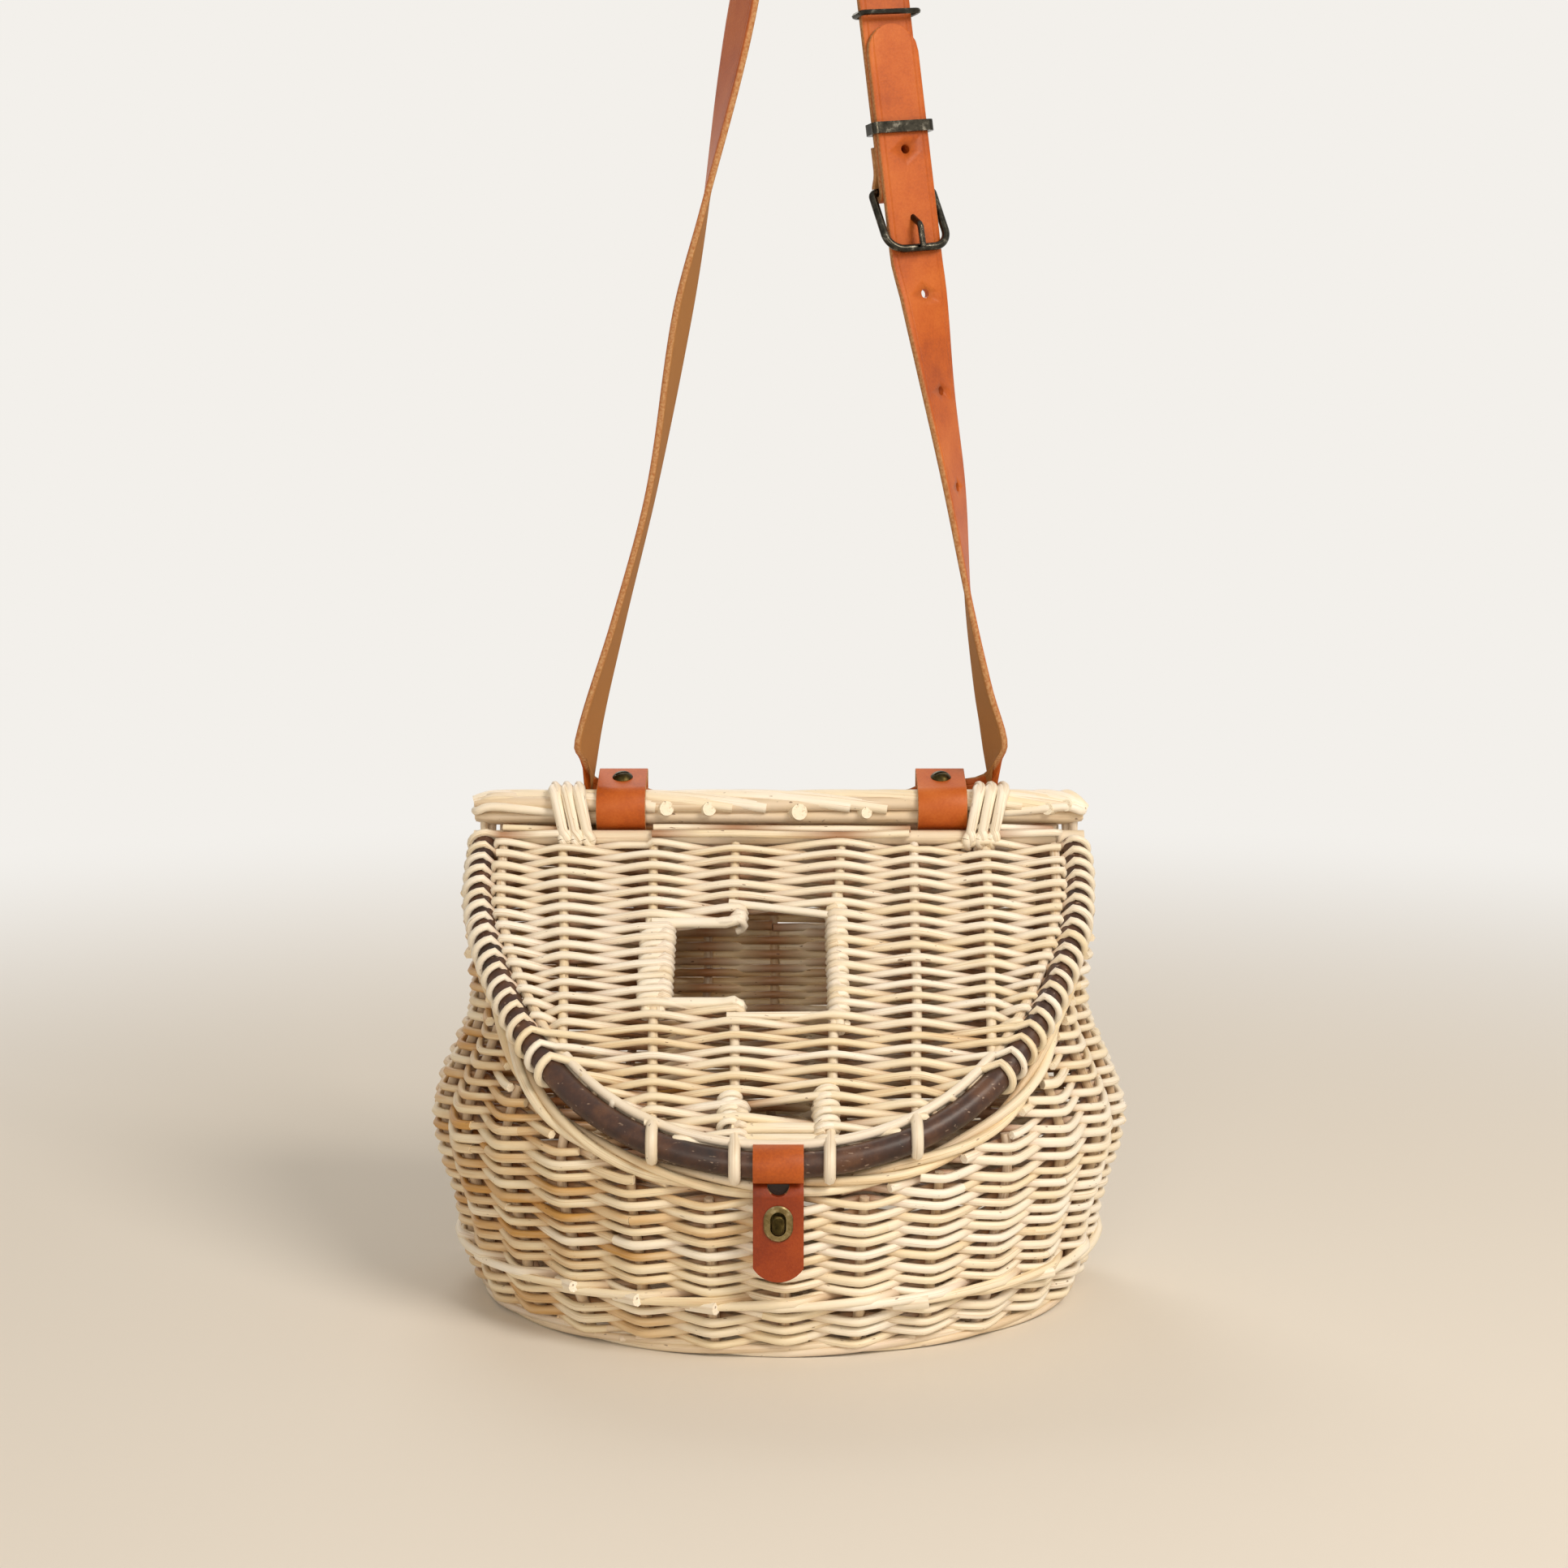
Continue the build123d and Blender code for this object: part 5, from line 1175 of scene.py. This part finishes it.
def makeStrap():
    rows = smoothRoute(strapRoute(), 5.0)
    # the rounded tip: sections that narrow along a half circle
    half = strap["width"] / 2
    tip = [(half * math.sin(math.radians(a)), math.cos(math.radians(a))) for a in strap["tip"]]
    last = rows[-1]
    extra = np.array([np.r_[last[:3] + np.array(strapUp) * up, last[3:]] for up, _ in tip])
    # behind the border the strap is gathered and runs lower, so it stays out of sight
    hidden = np.clip((strap["hiddenHalf"] - np.abs(rows[:, 0])) / strap["hiddenEase"], 0, 1)
    hidden *= rows[:, 2] < strap["hiddenBelow"]
    rows[:, 2] -= strap["lowered"] * hidden
    widths = np.r_[1 - strap["gathered"] * hidden, [share for _, share in tip]]
    rows = np.vstack([rows, extra])
    # half the section: across and through the thickness in mm, flesh side, cut edge
    upper = [(x, strap["thick"] / 2, 0.0, 0.0)
             for x in (-12.1, -10.2, -9.7, -9.2, 0.0, 9.2, 9.7, 10.2, 12.1)]
    edge = [(12.55, 1.15, 0.0, 0.6), (12.7, 0.0, 0.5, 1.0), (12.55, -1.15, 1.0, 0.8)]
    lower = [(-x, -thick, 1.0, 0.0) for x, thick, _, _ in upper]
    profile = upper + edge + lower + [(-x, thick, flesh, raw) for x, thick, flesh, raw in edge[::-1]]
    work = bmesh.new()
    across, along = len(profile), len(rows)
    bmesh.ops.create_grid(work, x_segments=along - 1, y_segments=across, size=1.0)
    side, cut, mm = [work.verts.layers.float.new(label) for label in ("leatherSide", "cutEdge", "acrossMm")]
    for vert in work.verts:
        i = int(round((vert.co.x + 1) / 2 * (along - 1)))
        j = int(round((vert.co.y + 1) / 2 * across)) % across
        edgeWay = Vector(rows[i][3:6]).normalized()
        face = Vector(rows[i][6:9])
        face = (face - edgeWay * face.dot(edgeWay)).normalized()
        x, thick, sideValue, cutValue = profile[j]
        vert.co = (Vector(rows[i][:3]) + edgeWay * x * widths[i] + face * thick) / 1000
        vert[side] = sideValue
        vert[cut] = cutValue
        vert[mm] = x * widths[i]
    bmesh.ops.remove_doubles(work, verts=work.verts, dist=1e-6)
    bmesh.ops.holes_fill(work, edges=[e for e in work.edges if e.is_boundary], sides=0)
    bmesh.ops.recalc_face_normals(work, faces=work.faces)
    piece = meshPiece("shoulderStrap", work, leather)
    piece.data.polygons.foreach_set("use_smooth", [True] * len(piece.data.polygons))
    punchHoles(piece, rows)
    return piece


cutLeather = {"bevel": 0.5, "flapAbove": 78.5}  # mm


def leatherFromFrame(node, name, material, flap=None):
    # a merged copy of the frame's solid, its edges rounded, its cut sides marked for their raw colour
    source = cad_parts[node]
    work = bmesh.new()
    work.from_mesh(source.data)
    bmesh.ops.remove_doubles(work, verts=work.verts, dist=2e-6)
    bmesh.ops.dissolve_limit(work, angle_limit=math.radians(1.0), verts=work.verts, edges=work.edges)
    bmesh.ops.recalc_face_normals(work, faces=work.faces)
    sharp = [e for e in work.edges if len(e.link_faces) == 2 and e.calc_face_angle() > math.radians(50)]
    bmesh.ops.bevel(work, geom=sharp, offset=cutLeather["bevel"] / 1000, offset_type="OFFSET", segments=2,
                    profile=0.5, affect="EDGES", material=-1, clamp_overlap=True)
    bmesh.ops.triangulate(work, faces=[f for f in work.faces if len(f.verts) > 4])
    cut = work.verts.layers.float.new("cutEdge")
    for vert in work.verts:
        vert[cut] = 1.0 if abs(vert.normal.x) > 0.6 else 0.0
    piece = meshPiece(name, work, *([material, flap] if flap else [material]))
    for label in ("leatherSide", "acrossMm"):
        piece.data.attributes.new(label, "FLOAT", "POINT")
    for polygon in piece.data.polygons:
        # the flap folded over the bow, above flapAbove, takes the lighter leather
        polygon.material_index = int(bool(flap) and polygon.center.z * 1000 > cutLeather["flapAbove"])
    return piece


settle(makeStrap(), "basket", "tan_leather", "shoulder_strap")
settle(leatherFromFrame("strap_loop_left", "strapLoopLeft", leather), "basket", "tan_leather",
       "strap_loop_left")
settle(leatherFromFrame("strap_loop_right", "strapLoopRight", leather), "basket", "tan_leather",
       "strap_loop_right")
settle(leatherFromFrame("latch_tongue", "latchTongue", tongueLeather, leather), "latch", "tan_leather",
       "latch_tongue")

# painted shadow: a dark leather disc behind the half-moon above the eyelet, where there is only shade
halfMoonShadow = {"radius": 5.0, "thick": 0.4, "out": 169.4, "height": 75.8, "bevel": 0.1}
halfMoonShadowLeather = makeLeather("paintedShadowLeather", "#1c0f06", "#27150a", "#331d0f", "#3a2414", "#2b190c",
                          noCrease)
work = bmesh.new()
facing = (Matrix.Translation((0, (wallY - halfMoonShadow["out"]) / 1000, halfMoonShadow["height"] / 1000))
          @ Matrix.Rotation(math.radians(90), 4, "X"))
bmesh.ops.create_circle(work, cap_ends=True, segments=28, radius=halfMoonShadow["radius"] / 1000, matrix=facing)
front = bmesh.ops.extrude_face_region(work, geom=work.faces[:])["geom"]
bmesh.ops.translate(work, verts=[v for v in front if isinstance(v, bmesh.types.BMVert)],
                    vec=(0, -halfMoonShadow["thick"] / 1000, 0))
rims = [e for e in work.edges if len(e.link_faces) == 2 and e.calc_face_angle() > 1]
bmesh.ops.bevel(work, geom=rims, offset=halfMoonShadow["bevel"] / 1000, offset_type="OFFSET", segments=1,
                profile=0.5, affect="EDGES", material=-1)
bmesh.ops.recalc_face_normals(work, faces=work.faces)
settle(meshPiece("latchHalfMoonShadow", work, halfMoonShadowLeather), "latch", "tan_leather")
print("leather made")

# metal and bark go on the frame's own pieces
finishes = {
    bark: ["lid_bow"],
    rubbedBrass: ["latch_eyelet"],
    brass: ["lock_plate", "lock_washer", "turn_button", "loop_screw_left", "loop_screw_right",
            "fold_rivets"],
    gunmetal: ["buckle_frame", "buckle_prong", "keeper_lower", "keeper_upper"],
}
for material, nodes in finishes.items():
    for node in nodes:
        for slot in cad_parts[node].material_slots:
            slot.material = material
print("fittings and bow finished")

studio = {
    "floorColour": "#e9e4dc", "floorSize": 12.0, "fadeFrom": 0.35, "fadeTo": 1.6,
    "world": "#f3e7d6", "worldStrength": 0.42, "background": "#f3f0eb",
    # place, the height it points at, width and watts of each lamp
    "keyLamp": ((1.1, -1.2, 1.5), 0.2, 0.9, 27.0, "#fff4e6"),
    "fillLamp": ((-0.3, -1.7, 0.62), 0.16, 0.5, 5.5, "#fff3e2"),
    "backLamp": ((-0.5, 1.6, 1.6), 0.2, 1.2, 9.0, "#fffaf2"),
}


def seenDirectly(tree):
    # 1 for rays from the camera, a mirror or glass, so only these see the plain background
    ray = addNode(tree, "LightPath")
    direct = ray.outputs["Is Camera Ray"]
    for kind in ("Is Glossy Ray", "Is Transmission Ray"):
        direct = addNode(tree, "Math", {"operation": "MAXIMUM"}, {0: direct, 1: ray.outputs[kind]}).outputs[0]
    return direct


def makeFloor():
    # painted plaster, which far from the object fades into the background and near it keeps the shadow
    material, tree, shader = newMaterial("paintedPlasterFloor", Roughness=0.8)
    shader.inputs["Base Color"].default_value = linearColour(studio["floorColour"])
    where = addNode(tree, "TexCoord")
    far = addNode(tree, "VectorMath", {"operation": "LENGTH"}, {0: where.outputs["Object"]})
    fade = addNode(tree, "MapRange",
                   {"interpolation_type": "SMOOTHSTEP", 1: studio["fadeFrom"], 2: studio["fadeTo"]},
                   {0: far.outputs["Value"]})
    seen = addNode(tree, "Math", {"operation": "MULTIPLY"}, {0: fade.outputs[0], 1: seenDirectly(tree)})
    glow = addNode(tree, "Emission", {"Color": linearColour(studio["background"]), "Strength": 1.0})
    blend = addNode(tree, "MixShader", {}, {0: seen.outputs[0], 1: shader.outputs[0], 2: glow.outputs[0]})
    tree.links.new(blend.outputs[0], tree.nodes["Material Output"].inputs["Surface"])
    work = bmesh.new()
    bmesh.ops.create_grid(work, x_segments=1, y_segments=1, size=studio["floorSize"])
    return meshPiece("floor", work, material)


def makeWorld():
    world = bpy.data.worlds.new("studio")
    bpy.context.scene.world = world
    world.use_nodes = True
    tree = world.node_tree
    shader = tree.nodes["Background"]
    direct = seenDirectly(tree)
    tone = addNode(tree, "Mix", {"data_type": "RGBA", 6: linearColour(studio["world"]),
                                 7: linearColour(studio["background"])}, {0: direct})
    tree.links.new(tone.outputs[2], shader.inputs["Color"])
    level = addNode(tree, "MapRange", {3: studio["worldStrength"], 4: 1.0}, {0: direct})
    tree.links.new(level.outputs[0], shader.inputs["Strength"])


def addLamp(name):
    spot, aim, size, power, colour = studio[name]
    light = bpy.data.lights.new(name, "AREA")
    light.shape = "DISK"
    light.size = size
    light.energy = power
    light.color = linearColour(colour)[:3]
    lamp = addObject(name, light)
    lamp.location = spot
    lamp.rotation_euler = (Vector((0, 0, aim)) - Vector(spot)).to_track_quat("-Z", "Y").to_euler()


makeFloor()
makeWorld()
for name in ("keyLamp", "fillLamp", "backLamp"):
    addLamp(name)

# as far from the wall as the photo was taken, in mm, with its lens and tilt
camera = {"x": 2.3, "distance": 1150.0, "height": 358.0, "lens": 57.1, "tilt": 3.99, "shiftY": -0.08}
cameraData = bpy.data.cameras.new("camera")
cameraData.lens = camera["lens"]
cameraData.sensor_width = 36
cameraData.shift_y = camera["shiftY"]
cameraObject = addObject("camera", cameraData)
cameraObject.location = (camera["x"] / 1000, (wallY - camera["distance"]) / 1000, camera["height"] / 1000)
cameraObject.rotation_euler = (math.radians(90 - camera["tilt"]), 0, 0)
bpy.context.scene.camera = cameraObject
bpy.context.scene.view_settings.view_transform = "Standard"
print("studio set")
